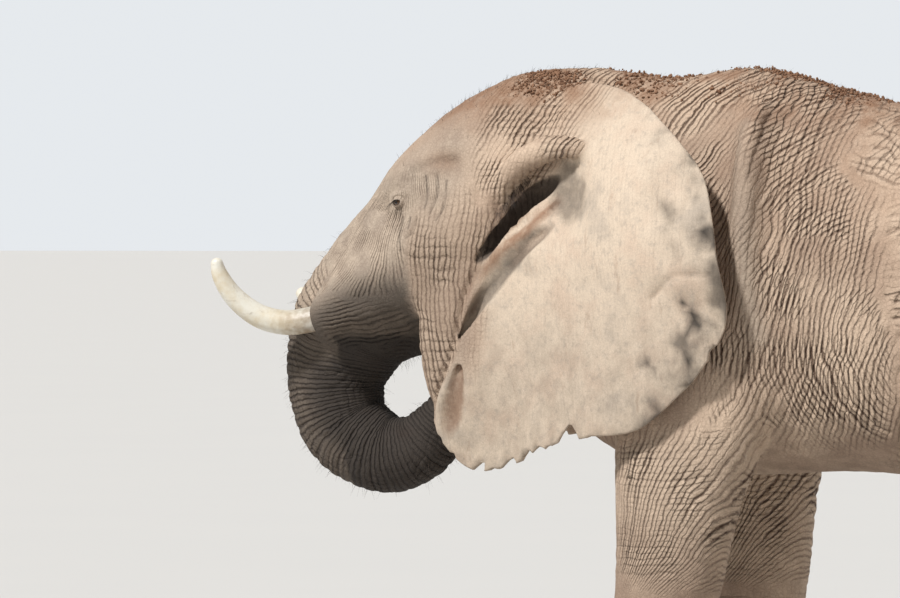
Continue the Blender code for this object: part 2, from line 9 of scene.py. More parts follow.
import bmesh
import bpy
import numpy as np
from bpy.props import FloatProperty, FloatVectorProperty, IntProperty
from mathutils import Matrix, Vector


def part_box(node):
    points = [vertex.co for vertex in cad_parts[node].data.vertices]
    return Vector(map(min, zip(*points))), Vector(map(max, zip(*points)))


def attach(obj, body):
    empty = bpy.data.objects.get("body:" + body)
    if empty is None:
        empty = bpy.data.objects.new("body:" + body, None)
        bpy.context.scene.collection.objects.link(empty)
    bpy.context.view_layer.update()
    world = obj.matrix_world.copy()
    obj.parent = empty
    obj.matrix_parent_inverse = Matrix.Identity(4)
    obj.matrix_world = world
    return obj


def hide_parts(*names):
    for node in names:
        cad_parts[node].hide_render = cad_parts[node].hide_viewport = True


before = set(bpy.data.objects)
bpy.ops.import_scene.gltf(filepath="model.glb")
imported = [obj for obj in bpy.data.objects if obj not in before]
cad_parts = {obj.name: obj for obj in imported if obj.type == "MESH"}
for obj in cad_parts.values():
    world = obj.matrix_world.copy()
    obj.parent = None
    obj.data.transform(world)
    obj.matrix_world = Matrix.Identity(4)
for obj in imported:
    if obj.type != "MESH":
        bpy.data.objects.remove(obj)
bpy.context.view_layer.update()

bl_info = {
    "name": "Elephant Bull",
    "version": (1, 0),
    "blender": (4, 5, 0),
    "location": "3D View > Sidebar > Elephant",
    "description": "Builds the skin, eyes, tusks, nails and hair of a standing elephant bull",
    "category": "Add Mesh",
}

EYE = np.array((0.372, -1.325, 2.625))
EYE_BOX = np.array(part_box("eye_left"))
SHIFT = np.array((0.0, float(EYE_BOX[:, 1].mean() - EYE[1]), 0.0))  # from the body frame to the model's

FLOW = 0.10  # how far one form flows into the next
SIDES = {"left": 1, "right": -1}
STRIDES = {"foreleg_left": -0.14, "foreleg_right": 0.10, "hindleg_left": 0.13, "hindleg_right": -0.07}
EAR_THICKNESS_ROOT = 0.040
EAR_THICKNESS_RIM = 0.018
EAR_MIDDLE = (-0.38, 2.32)  # Y, Z

# Stations of the forms, read along each one -------------------------------------------------------
# Y, top, bottom, half width
TORSO = [
    (-0.85, 3.10, 1.90, 0.29),
    (-0.55, 3.195, 1.61, 0.34),
    (-0.20, 3.165, 1.46, 0.43),
    (0.20, 3.20, 1.45, 0.49),
    (0.60, 3.10, 1.47, 0.585),
    (1.00, 3.01, 1.45, 0.65),
    (1.45, 2.985, 1.40, 0.69),
    (1.90, 3.02, 1.43, 0.645),
    (2.20, 2.93, 1.62, 0.53),
    (2.45, 2.74, 1.86, 0.38),
    (2.60, 2.53, 2.05, 0.24),
    (2.67, 2.38, 2.20, 0.11),
]
# Z, X of the axis, Y of the axis, half width, half depth
FORELEG = [
    (-0.20, 0.415, -0.03, 0.255, 0.275),
    (0.00, 0.415, -0.03, 0.255, 0.275),
    (0.12, 0.415, -0.02, 0.245, 0.262),
    (0.28, 0.415, 0.00, 0.205, 0.212),
    (0.52, 0.42, 0.00, 0.188, 0.200),
    (0.80, 0.425, -0.02, 0.196, 0.215),
    (1.05, 0.435, 0.00, 0.208, 0.240),
    (1.30, 0.440, 0.01, 0.222, 0.268),
    (1.60, 0.425, 0.03, 0.232, 0.325),
    (1.95, 0.385, 0.06, 0.230, 0.380),
    (2.40, 0.320, 0.09, 0.210, 0.340),
]
HIND_LEG = [
    (-0.20, 0.375, 1.925, 0.200, 0.235),
    (0.00, 0.375, 1.925, 0.200, 0.235),
    (0.12, 0.375, 1.935, 0.190, 0.222),
    (0.28, 0.375, 1.975, 0.160, 0.178),
    (0.52, 0.385, 2.025, 0.160, 0.195),
    (0.80, 0.400, 2.000, 0.178, 0.225),
    (1.10, 0.410, 1.935, 0.208, 0.290),
    (1.40, 0.415, 1.925, 0.238, 0.375),
    (1.75, 0.400, 1.970, 0.255, 0.445),
    (2.15, 0.370, 2.010, 0.250, 0.450),
    (2.55, 0.320, 2.010, 0.220, 0.360),
]
# Y, Z of the axis, half width, half depth
FACE = [
    (-1.00, 2.66, 0.400, 0.410),
    (-1.28, 2.46, 0.385, 0.368),
    (-1.52, 2.27, 0.320, 0.302),
    (-1.68, 2.10, 0.265, 0.262),
]
TRUNK = [
    (-1.52, 2.27, 0.290, 0.288),
    (-1.70, 2.10, 0.250, 0.256),
    (-1.768, 1.93, 0.215, 0.235),
    (-1.775, 1.765, 0.195, 0.210),
    (-1.715, 1.620, 0.185, 0.196),
    (-1.545, 1.522, 0.170, 0.175),
    (-1.395, 1.545, 0.150, 0.152),
    (-1.29, 1.635, 0.130, 0.130),
    (-1.215, 1.73, 0.105, 0.105),
    (-1.16, 1.78, 0.085, 0.078),
]
JAW = [
    (-0.90, 2.16, 0.250, 0.260),
    (-1.15, 2.11, 0.200, 0.160),
    (-1.33, 2.06, 0.125, 0.100),
    (-1.43, 2.02, 0.075, 0.075),
]
# centre, half sizes, lean about X in degrees; each is made on both sides where its X isn't 0
BLOBS = [
    ((0.0, -0.76, 2.60), (0.36, 0.58, 0.60), 0),  # skull
    ((0.0, -1.13, 2.59), (0.36, 0.365, 0.365), 0),  # forehead
    ((0.15, -0.90, 2.70), (0.24, 0.36, 0.36), 0),  # crown
    ((0.260, -1.265, 2.71), (0.105, 0.115, 0.10), -10),  # brow
    ((0.33, -1.08, 2.46), (0.12, 0.30, 0.12), 10),  # cheek bone
    ((0.31, -0.95, 2.15), (0.12, 0.26, 0.44), 0),  # jaw muscle
    ((0.355, -1.05, 2.00), (0.055, 0.17, 0.42), 4),  # jowl
    ((0.38, 0.325, 2.50), (0.215, 0.085, 0.54), -2),  # shoulder blade's front edge
    ((0.36, 1.95, 2.62), (0.22, 0.26, 0.28), 0),  # hip
]
HOLLOWS = [
    ((0.475, -1.13, 2.775), (0.115, 0.14, 0.085), 0),  # temple
    ((0.0, -1.68, 2.76), (0.26, 0.145, 0.145), 0),  # root of the nose
    ((0.640, 0.455, 2.63), (0.115, 0.060, 0.28), 0),  # behind the blade's edge
]
SHEATH = [
    (0.20, -1.15, 2.36, 0.185),
    (0.245, -1.45, 2.245, 0.155),
    (0.285, -1.68, 2.135, 0.098),
]
TUSK = [
    (0.283, -1.60, 2.155, 0.057),
    (0.290, -1.74, 2.122, 0.057),
    (0.312, -1.88, 2.100, 0.056),
    (0.345, -2.00, 2.128, 0.053),
    (0.385, -2.10, 2.208, 0.046),
    (0.418, -2.156, 2.305, 0.036),
    (0.436, -2.170, 2.385, 0.022),
]
RIGHT_TUSK_WEAR = 0.27  # of its length, lost from the tip
TAIL = [
    (2.60, 2.52, 0.090),
    (2.70, 2.38, 0.070),
    (2.745, 2.15, 0.055),
    (2.76, 1.85, 0.045),
    (2.75, 1.55, 0.036),
    (2.74, 1.30, 0.030),
]
# How far the ear's edge lies from its middle, by the angle round it (0 is back, 90 is up)
EAR_REACH = [
    (-180, 0.62),
    (-153, 0.74),
    (-147, 0.85),
    (-144, 0.93),
    (-138, 1.02),
    (-134, 1.037),
    (-125, 1.041),
    (-118.5, 0.96),
    (-112.6, 0.875),
    (-101, 0.745),
    (-86, 0.70),
    (-65, 0.72),
    (-50, 0.70),
    (-37, 0.70),
    (-18, 0.708),
    (8, 0.655),
    (31, 0.675),
    (64, 0.72),
    (88, 0.80),
    (104, 0.83),
    (127, 0.70),
    (148, 0.64),
    (180, 0.62),
]
# Tears in the lower edge: angle, depth, half width in degrees
EAR_TEARS = [
    (-136.0, 0.010, 1.2),
    (-131.0, 0.012, 1.0),
    (-123.7, 0.058, 1.4),
    (-120.3, 0.012, 0.8),
    (-116.2, 0.045, 2.0),
    (-110.8, 0.042, 1.5),
    (-107.5, 0.030, 2.6),
    (-103.5, 0.010, 1.2),
    (-94.7, 0.072, 4.6),
    (-84.0, 0.006, 2.0),
    (-28.0, 0.016, 3.0),
]
EAR_TURN = {1: 0.0, -1: -8.0}  # degrees that each side's ear is turned about its middle
EAR_SIZE = {1: 1.0, -1: 0.95}


def flow(at, knots, values):
    """A smooth curve through the values: cubic spans whose slopes come from the neighbours."""
    knots = np.asarray(knots, float)
    values = np.asarray(values, float)
    slopes = np.gradient(values, knots)
    at = np.clip(at, knots[0], knots[-1])
    i = np.clip(np.searchsorted(knots, at) - 1, 0, len(knots) - 2)
    span = knots[i + 1] - knots[i]
    t = (at - knots[i]) / span
    ends = values[i] * (1 + 2 * t) * (1 - t) ** 2 + values[i + 1] * t * t * (3 - 2 * t)
    return ends + span * (slopes[i] * t * (1 - t) ** 2 - slopes[i + 1] * t * t * (1 - t))


def path(stations, samples=10):
    """The stations of a form, read as a smooth curve with this many samples between two of them."""
    rows = np.asarray(stations, float)
    at = np.linspace(0, len(rows) - 1, (len(rows) - 1) * samples + 1)
    return np.stack([flow(at, np.arange(len(rows)), column) for column in rows.T], 1)


def ramp(at, low, high):
    """0 below low, 1 above high, eased between; low may be the larger."""
    t = np.clip((at - low) / (high - low), 0, 1)
    return t * t * (3 - 2 * t)


def within(at, low, high, soft):
    """1 between low and high, fading to 0 over the soft margin outside."""
    return ramp(at, low - soft, low) * ramp(at, high + soft, high)


def unit(vectors):
    """The vectors made one long."""
    return vectors / np.linalg.norm(vectors, axis=-1, keepdims=True)


def smooth_min(a, b, reach):
    """The union of two forms that flow together over this reach."""
    h = np.clip(0.5 + 0.5 * (b - a) / reach, 0, 1)
    return b * (1 - h) + a * h - reach * h * (1 - h)


# Noise --------------------------------------------------------------------------------------------
def scatter(i, j, k, seed):
    """A fixed number between 0 and 1 for each lattice point."""
    h = (i * 374761393 + j * 668265263 + k * 1440662683 + seed * 974634777).astype(np.uint32)
    h = (h ^ (h >> 13)) * np.uint32(1274126177)
    return ((h ^ (h >> 16)) & 0xFFFFFF) / float(0xFFFFFF)


def noise(p, size, seed=0):
    """Smooth noise from -1 to 1 whose features are about this size."""
    q = p / size
    base = np.floor(q).astype(np.int64)
    t = q - base
    t = t * t * (3 - 2 * t)
    total = 0
    for i in (0, 1):
        for j in (0, 1):
            for k in (0, 1):
                weight = (t[:, 0] if i else 1 - t[:, 0]) * (t[:, 1] if j else 1 - t[:, 1])
                weight = weight * (t[:, 2] if k else 1 - t[:, 2])
                total = total + weight * scatter(base[:, 0] + i, base[:, 1] + j, base[:, 2] + k, seed)
    return 2 * total - 1


def layered(p, size, seed=0, layers=3):
    """Noise with finer noise on top, from -1 to 1."""
    return sum(noise(p, size / 2**n, seed + n) / 2 ** (n + 1) for n in range(layers))


# Forms --------------------------------------------------------------------------------------------
FAR = 9.0
REACH = 0.3  # a form is only worked out this close to its own box


def near(low, high):
    """Works a form out only near its box, and calls everything else far away."""

    def wrap(form):
        def worked(p):
            close = ((p > np.array(low) - REACH) & (p < np.array(high) + REACH)).all(1)
            result = np.full(len(p), FAR)
            if close.any():
                result[close] = form(p[close])
            return result

        return worked

    return wrap


def radial(across, along, half_across, half_along, power=2.0):
    """Distance to a rounded section, measured from its middle."""
    q = (np.abs(across / half_across) ** power + np.abs(along / half_along) ** power) ** (1 / power)
    q = np.maximum(q, 1e-4)
    core = np.where(q < 0.01, np.minimum(half_across, half_along), 0)
    return np.hypot(across, along) * (1 - 1 / q) - core


def barrel(stations, power=2.1):
    """A body along Y, from its top and bottom lines and its half width."""
    y, top, bottom, half = np.asarray(stations, float).T

    @near((-half.max(), y[0], bottom.min()), (half.max(), y[-1], top.max()))
    def form(p):
        z_top, z_bottom, a = (flow(p[:, 1], y, v) for v in (top, bottom, half))
        side = radial(p[:, 0], p[:, 2] - (z_top + z_bottom) / 2, a, (z_top - z_bottom) / 2, power)
        return np.maximum(side, np.maximum(y[0] - p[:, 1], p[:, 1] - y[-1]))

    return form


def column(stations, side, stride):
    """A leg along Z; its foot stands a stride behind the line, and the stride fades upwards."""
    z, x, y, a, b = np.asarray(stations, float).T
    low = (min(side * x.min(), side * x.max()) - a.max(), y.min() - b.max() - abs(stride), z[0])
    high = (max(side * x.min(), side * x.max()) + a.max(), y.max() + b.max() + abs(stride), z[-1])

    @near(low, high)
    def form(p):
        at = p[:, 2]
        shift = stride * np.clip(1 - at / 1.6, 0, 1)
        cross = p[:, 0] - side * flow(at, z, x)
        along = p[:, 1] - flow(at, z, y) - shift
        section = radial(cross, along, flow(at, z, a), flow(at, z, b))
        return np.maximum(section, np.maximum(z[0] - at, at - z[-1]))

    return form


def along_path(p, rows):
    """Of the nearest point of a path in the YZ plane: how far along, how far off, and the sizes there."""
    best = np.full(len(p), np.inf)
    run = np.zeros(len(p))
    off = np.zeros(len(p))
    sizes = np.zeros((len(p), rows.shape[1] - 2))
    start_run = 0.0
    for start, end in zip(rows[:-1], rows[1:]):
        line = end[:2] - start[:2]
        length = math.hypot(*line)
        y, z = p[:, 1] - start[0], p[:, 2] - start[1]
        t = np.clip((y * line[0] + z * line[1]) / length**2, 0, 1)
        away = np.hypot(y - t * line[0], z - t * line[1])
        closer = away < best
        best = np.where(closer, away, best)
        run = np.where(closer, start_run + t * length, run)
        off = np.where(closer, (y * line[1] - z * line[0]) / length, off)
        sizes = np.where(closer[:, None], start[2:] + t[:, None] * (end[2:] - start[2:]), sizes)
        start_run += length
    return run, best, off, sizes


def tube(stations):
    """A form that bends in the middle plane, from Y, Z, half width and half depth."""
    rows = path(stations)
    wide, deep = rows[:, 2].max(), rows[:, 3].max()
    low = (-wide, rows[:, 0].min() - deep, rows[:, 1].min() - deep)
    high = (wide, rows[:, 0].max() + deep, rows[:, 1].max() + deep)

    @near(low, high)
    def form(p):
        _, away, _, sizes = along_path(p, rows)
        return radial(p[:, 0], away, sizes[:, 0], sizes[:, 1])

    return form


def rod(stations, side, samples=6):
    """A round form along any path, from X, Y, Z and radius."""
    rows = path(stations, samples) * (side, 1, 1, 1)
    thick = rows[:, 3].max()

    @near(rows[:, :3].min(0) - thick, rows[:, :3].max(0) + thick)
    def form(p):
        f = np.full(len(p), np.inf)
        for start, end in zip(rows[:-1], rows[1:]):
            line = end[:3] - start[:3]
            t = np.clip(((p - start[:3]) @ line) / (line @ line), 0, 1)
            away = np.linalg.norm(p - start[:3] - t[:, None] * line, axis=1)
            f = np.minimum(f, away - start[3] - t * (end[3] - start[3]))
        return f

    return form


def either_side(stations):
    """The form of a rod and of its mirror image."""
    rods = [rod(stations, side) for side in (1, -1)]
    return lambda p: np.minimum(*[one(p) for one in rods])


def blob(centre, sizes, lean, side):
    """An ellipsoid, leaned about the X axis."""
    c, s = math.cos(math.radians(lean)), math.sin(math.radians(lean))
    middle = np.array(centre) * (side, 1, 1)
    widest = max(sizes)

    @near(middle - widest, middle + widest)
    def form(p):
        q = p - middle
        q = np.stack([q[:, 0], c * q[:, 1] + s * q[:, 2], c * q[:, 2] - s * q[:, 1]], 1)
        scaled = np.linalg.norm(q / sizes, axis=1)
        steep = np.linalg.norm(q / np.square(sizes), axis=1)
        return scaled * (scaled - 1) / np.maximum(steep, 1e-6)

    return form


def sheet_side(y, z):
    """How far out the ear's middle surface hangs: it swings back from the head and leans in above."""
    back = np.clip((y + 1.02) / 1.0, 0, 1)
    swing = 0.36 * back * back * (3 - 2 * back)
    lean = 0.34 * np.clip((z - 2.35) / 0.78, 0, 1) ** 1.7
    wave = 0.018 * np.sin(5.5 * z + 2.0 * y) * back
    bowl = 0.085 * np.exp(-(((y + 0.50) / 0.13) ** 2) - ((z - 2.62) / 0.14) ** 2)
    return 0.385 + swing - lean + wave - bowl


def ear_edge(angle):
    """The reach of the ear's edge at an angle in degrees, less the tears in its lower stretch."""
    angles, reach = np.array(EAR_REACH, float).T
    edge = flow(angle, angles, reach)
    for middle, depth, half in EAR_TEARS:
        edge = edge - depth * np.clip(1 - np.abs(angle - middle) / half, 0, 1) ** 0.7
    return edge


def ear_place(p, side):
    """Where a point lies on the ear's sheet: angle in degrees, share of the reach, and off the sheet."""
    y, z = p[:, 1] - EAR_MIDDLE[0], p[:, 2] - EAR_MIDDLE[1]
    angle = np.degrees(np.arctan2(z, y)) - EAR_TURN[side]
    angle = (angle + 180) % 360 - 180
    out = np.hypot(y, z)
    edge = EAR_SIZE[side] * ear_edge(angle)
    nudge = 0.01
    here = sheet_side(p[:, 1], p[:, 2])
    slope_y = (sheet_side(p[:, 1] + nudge, p[:, 2]) - here) / nudge
    slope_z = (sheet_side(p[:, 1], p[:, 2] + nudge) - here) / nudge
    off = (side * p[:, 0] - here) / np.sqrt(1 + slope_y**2 + slope_z**2)
    return angle, out, edge, off


def ear_form(side, pad=0.0):
    """The ear's sheet, thick at the root and thin at the rim, rounded at its edge."""

    @near(
        (0.15 if side > 0 else -0.85, -1.3, 1.35),
        (0.85 if side > 0 else -0.15, 0.5, 3.3),
    )
    def form(p):
        _, out, edge, off = ear_place(p, side)
        thin = ramp(p[:, 1], -1.0, -0.4)
        thick = EAR_THICKNESS_ROOT + (EAR_THICKNESS_RIM - EAR_THICKNESS_ROOT) * thin + 2 * pad
        return -smooth_min(thick / 2 - np.abs(off), 0.9 * (edge + pad - out), 0.012)

    return form


# Forms at the ear's root, as X, Y, Z and radius: the hood over the opening, what fills the sheet out
# behind, the fold below the opening, and what is hollowed: the opening, the valley and the front fold
EAR_RIM = [
    (0.405, -0.93, 2.53, 0.028),
    (0.405, -0.89, 2.61, 0.038),
    (0.412, -0.845, 2.675, 0.046),
    (0.428, -0.79, 2.74, 0.052),
    (0.465, -0.71, 2.80, 0.056),
    (0.488, -0.61, 2.845, 0.054),
    (0.492, -0.51, 2.860, 0.048),
    (0.470, -0.42, 2.835, 0.040),
    (0.470, -0.34, 2.79, 0.022),
]
EAR_BACKING = [
    [(0.33, -0.56, 2.70, 0.09), (0.31, -0.70, 2.60, 0.10), (0.31, -0.86, 2.44, 0.08)],
    [
        (0.375, -0.52, 2.58, 0.05),
        (0.385, -0.62, 2.48, 0.06),
        (0.37, -0.78, 2.34, 0.06),
        (0.355, -0.94, 2.14, 0.045),
    ],
    [
        (0.45, -0.545, 2.53, 0.03),
        (0.45, -0.575, 2.46, 0.038),
        (0.437, -0.66, 2.39, 0.038),
        (0.405, -0.79, 2.28, 0.036),
    ],
]
EAR_RIDGE = [
    (0.422, -0.560, 2.630, 0.006),
    (0.446, -0.604, 2.590, 0.010),
    (0.458, -0.697, 2.503, 0.014),
    (0.440, -0.790, 2.436, 0.018),
    (0.420, -0.883, 2.356, 0.018),
    (0.402, -0.953, 2.246, 0.016),
    (0.394, -0.990, 2.150, 0.010),
]
EAR_HOLLOWS = [
    [
        (0.446, -0.555, 2.740, 0.014),
        (0.415, -0.620, 2.695, 0.036),
        (0.385, -0.700, 2.630, 0.052),
        (0.380, -0.790, 2.540, 0.050),
        (0.400, -0.850, 2.475, 0.040),
        (0.422, -0.895, 2.420, 0.026),
        (0.436, -0.930, 2.375, 0.012),
    ],
    [
        (0.506, -0.560, 2.555, 0.010),
        (0.499, -0.610, 2.505, 0.026),
        (0.482, -0.700, 2.435, 0.033),
        (0.457, -0.815, 2.325, 0.032),
        (0.429, -0.925, 2.195, 0.028),
        (0.420, -0.985, 2.100, 0.020),
        (0.418, -1.030, 2.020, 0.010),
    ],
    [
        (0.412, -1.020, 1.925, 0.012),
        (0.434, -1.035, 1.836, 0.036),
        (0.450, -1.052, 1.75, 0.056),
        (0.449, -1.070, 1.68, 0.058),
        (0.428, -1.085, 1.60, 0.018),
    ],
]
SOLE_ROUND = 0.03  # how softly the sole's edge turns up
TAIL_FLOW = 0.06
EAR_FLOW = 0.05
ROOT_FLOW = 0.04  # of what stands out at the ear's root
HOLLOW_FLOW = 0.022
RIDGE_FLOW = 0.016


def make_flesh(pad=0.0):
    """Prepares the whole body as one function: signed distance, near enough, of points to the skin.

    The thin ears may be padded, so that no cell of a grid holds both of their faces.
    """
    torso = barrel(TORSO)
    limbs = []
    for label, side in SIDES.items():
        limbs.append((column(FORELEG, side, STRIDES[f"foreleg_{label}"]), 1.2 * FLOW))
        limbs.append((column(HIND_LEG, side, STRIDES[f"hindleg_{label}"]), 1.5 * FLOW))
    limbs.append((tube(FACE), FLOW))
    for centre, sizes, lean in BLOBS:
        for side in (1, -1) if centre[0] else (1,):
            limbs.append((blob(centre, sizes, lean, side), FLOW))
    limbs += [(rod(SHEATH, side), 0.7 * FLOW) for side in (1, -1)]
    hollows = [blob(centre, sizes, lean, side) for centre, sizes, lean in HOLLOWS for side in (1, -1)]
    tail = rod([(0, *row) for row in TAIL], 1)
    late = [(tube(JAW), 0.5 * FLOW), (tube(TRUNK), 0.6 * FLOW), (tail, TAIL_FLOW)]
    late += [(ear_form(side, pad), EAR_FLOW) for side in (1, -1)]
    late += [(rod(rows, side), ROOT_FLOW) for side in (1, -1) for rows in (*EAR_BACKING, EAR_RIM)]
    ear_hollows = [rod(rows, side) for side in (1, -1) for rows in EAR_HOLLOWS]
    ridges = [rod(EAR_RIDGE, side) for side in (1, -1)]

    def form(p):
        f = torso(p)
        for limb, reach in limbs:
            f = smooth_min(f, limb(p), reach)
        for hollow in hollows:
            f = -smooth_min(-f, hollow(p), 0.8 * FLOW)
        for limb, reach in late:
            f = smooth_min(f, limb(p), reach)
        for hollow in ear_hollows:
            f = -smooth_min(-f, hollow(p), HOLLOW_FLOW)
        for ridge in ridges:
            f = smooth_min(f, ridge(p), RIDGE_FLOW)
        return -smooth_min(-f, p[:, 2], SOLE_ROUND)

    return form


# Meshing ------------------------------------------------------------------------------------------
COARSE = 0.05
FINE = 4  # fine cells along each coarse one
BAND = 1.05 * COARSE  # how far from the surface a coarse cell is still divided
AT_ONCE = 4000  # coarse cells that are divided together


def banded_inside(field, low, high):
    """Whether each point of a fine grid is inside, worked out only near the surface."""
    count = [int(math.ceil((high[k] - low[k]) / COARSE)) for k in range(3)]
    axes = [low[k] + COARSE * (np.arange(count[k]) + 0.5) for k in range(3)]
    middles = np.stack(np.meshgrid(*axes, indexing="ij"), -1).reshape(-1, 3)
    rough = field(middles)
    step = COARSE / FINE
    inside = np.repeat(np.repeat(np.repeat((rough < 0).reshape(count), FINE, 0), FINE, 1), FINE, 2)
    band = np.nonzero(np.abs(rough) < BAND)[0]
    corner = np.stack(np.unravel_index(band, count), 1) * FINE
    sub = np.stack(np.meshgrid(*[np.arange(FINE)] * 3, indexing="ij"), -1).reshape(-1, 3)
    for part in np.array_split(corner, max(1, len(corner) // AT_ONCE)):
        index = (part[:, None] + sub).reshape(-1, 3)
        value = field(np.array(low) + step * (index + 0.5))
        inside[tuple(index.T)] = value < 0
    return inside, np.array(low) + step / 2, step


def surface_net(field, low, high):
    """Quads where a field is zero: one point in each fine cell that the surface crosses."""
    inside, origin, step = banded_inside(field, low, high)
    near_far = [slice(0, -1), slice(1, None)]
    corners = sum(
        inside[a, b, c].astype(np.int8) for a in near_far for b in near_far for c in near_far
    )
    crossed = np.nonzero((corners > 0) & (corners < 8))
    number = np.full(corners.shape, -1, np.int32)
    number[crossed] = np.arange(len(crossed[0]))
    points = origin + step * (np.stack(crossed, 1) + 0.5)
    quads = []
    for k in range(3):
        others = [m for m in range(3) if m != k]
        lower = [slice(1, -1)] * 3
        lower[k] = slice(0, -1)
        upper = list(lower)
        upper[k] = slice(1, None)
        edge = np.array(np.nonzero(inside[tuple(lower)] != inside[tuple(upper)]))
        edge[others[0]] += 1
        edge[others[1]] += 1
        ring = []
        for back in ((1, 1), (0, 1), (0, 0), (1, 0)):
            cell = edge.copy()
            cell[others[0]] -= back[0]
            cell[others[1]] -= back[1]
            ring.append(number[tuple(cell)])
        ring = np.stack(ring, 1)
        out = inside[tuple(edge)] if k != 1 else ~inside[tuple(edge)]
        quads.append(np.where(out[:, None], ring, ring[:, ::-1]))
    return points, np.concatenate(quads)


def slope(field, points, nudge=0.0015):
    """The field's value and its slope at each point."""
    value = field(points)
    return value, np.stack([(field(points + nudge * axis) - value) / nudge for axis in np.eye(3)], 1)


def settle(field, points, limit, rounds=3):
    """The points moved along the field's slope to where it is zero, and the outward direction there."""
    for _ in range(rounds):
        value, up = slope(field, points)
        move = -value[:, None] * up / np.maximum((up**2).sum(1), 0.1)[:, None]
        points = points + np.clip(move, -limit, limit)
    return points, up / np.maximum(np.linalg.norm(up, axis=1), 1e-6)[:, None]


# Folds of the skin --------------------------------------------------------------------------------
NOSE = path(FACE[:2] + TRUNK)  # the line of the face, on down the trunk
FAN_TOP = (-1.30, 2.94)  # Y, Z that the fine lines of the face spread from
NECK_HEART = (1.10, 2.00)  # Y, Z that the folds of the neck and shoulder run round
LEG_FAN = (-0.34, 0.62)  # Y, Z that the folds of the upper foreleg spread from
# Z and the shift in Y of the cheek's folds
CHEEK_FOLDS = np.array([(1.60, 0.06), (1.90, 0.0), (2.25, -0.035), (2.66, 0.0)])
# Z and Y of the ear's front edge
EAR_FRONT = np.array([
    (1.50, -1.10), (1.64, -1.145), (1.77, -1.135), (1.86, -1.10), (1.99, -1.045),
    (2.26, -0.97), (2.42, -0.88), (2.55, -0.73), (2.85, -0.55), (3.10, -0.42),
])
# Y and Z along the shoulder's ridge
BLADE_EDGE = [(0.29, 2.95), (0.315, 2.75), (0.325, 2.50), (0.34, 2.28), (0.38, 2.05)]


def turns_along(run, knots, spacings):
    """Turns so far along a run whose spacing changes: the sum of length over spacing."""
    spacing = flow(run, knots, spacings)
    steps = np.diff(run) / (0.5 * (spacing[1:] + spacing[:-1]))
    return np.concatenate([[0], np.cumsum(steps)])


NOSE_RUNS = np.linspace(0, 3.2, 321)
NOSE_TURNS = turns_along(NOSE_RUNS, [0.4, 0.75, 1.2, 1.7, 2.3], [0.032, 0.024, 0.020, 0.021, 0.015])


def stroke(points, y, z, width):
    """1 on a smooth line drawn in the side view, falling off over its width."""
    line = path(points, 6)
    low, high = line.min(0) - 3 * width, line.max(0) + 3 * width
    close = (y > low[0]) & (y < high[0]) & (z > low[1]) & (z < high[1])
    best = np.full(int(close.sum()), 9.0)
    for start, end in zip(line[:-1], line[1:]):
        run = end - start
        from_y, from_z = y[close] - start[0], z[close] - start[1]
        t = np.clip((from_y * run[0] + from_z * run[1]) / (run @ run), 0, 1)
        best = np.minimum(best, np.hypot(from_y - t * run[0], from_z - t * run[1]))
    result = np.zeros(len(y))
    result[close] = np.exp(-((best / width) ** 2))
    return result


def regions(p):
    """Shares, from 0 to 1, of each region of the skin at each point, and the lines that they run along."""
    y, z, s = p[:, 1], p[:, 2], np.abs(p[:, 0])
    parts = {}
    run, _, off, _ = along_path(p, NOSE)
    parts["run"], parts["off"] = run, off
    parts["trunk"] = ramp(tube(TRUNK)(p), 0.05, 0.01) * ramp(run, 0.55, 0.85)
    for name in ("ear", "ear_out", "rim"):
        parts[name] = np.zeros(len(p))
    for side in (1, -1):
        mine = (side * p[:, 0] > 0.15) & (y > -1.3) & (y < 0.5) & (z > 1.3)
        _, out, edge, away = ear_place(p[mine], side)
        front = flow(z[mine], EAR_FRONT[:, 0], EAR_FRONT[:, 1])
        soft = 0.02 + 0.16 * ramp(z[mine], 2.6, 2.95)
        share = ramp(np.abs(away), 0.055, 0.03) * ramp(out, edge + 0.03, edge)
        share = share * ramp(y[mine], front - soft, front + soft)
        parts["ear"][mine] = share
        parts["ear_out"][mine] = share * ramp(away, -0.004, 0.004)
        parts["rim"][mine] = edge - out
    bare = 1 - parts["ear"]
    legs = {"foreleg": 0, "hindleg": 0}
    for label, side in SIDES.items():
        for name, stations in (("foreleg", FORELEG), ("hindleg", HIND_LEG)):
            inside = column(stations, side, STRIDES[f"{name}_{label}"])(p)
            legs[name] = np.maximum(legs[name], ramp(inside, 0.10, 0.0))
    parts["foreleg"] = legs["foreleg"] * ramp(z, 1.85, 1.50) * bare
    parts["hindleg"] = legs["hindleg"] * ramp(z, 1.75, 1.40) * ramp(y, 1.2, 1.4)
    parts["cheek_line"] = flow(z, CHEEK_FOLDS[:, 0], CHEEK_FOLDS[:, 1])
    parts["ear_line"] = flow(z, EAR_FRONT[:, 0], EAR_FRONT[:, 1])
    cheek = ramp(y, -1.31, -1.22) * ramp(y, 0.03 + parts["ear_line"], parts["ear_line"]) * ramp(z, 1.50, 1.66)
    cheek = cheek * ramp(z - 0.35 * (y + 1.1), 2.78, 2.36) * ramp(s, 0.20, 0.28)
    parts["cheek"] = cheek * bare * (1 - parts["trunk"])
    parts["face"] = ramp(y, -0.98, -1.22) * (1 - parts["cheek"]) * bare
    parts["back"] = y + 0.35 * noise(p, 0.4, 61)
    parts["neck"] = ramp(y, -1.02, -0.86) * ramp(parts["back"], 1.35, 0.65) * ramp(z, 1.50, 1.75) * bare
    parts["tail"] = ramp(y, 2.63, 2.69)
    parts["blade"] = stroke(BLADE_EDGE, y, z, 0.055) * parts["neck"] * ramp(s, 0.25, 0.40)
    return parts


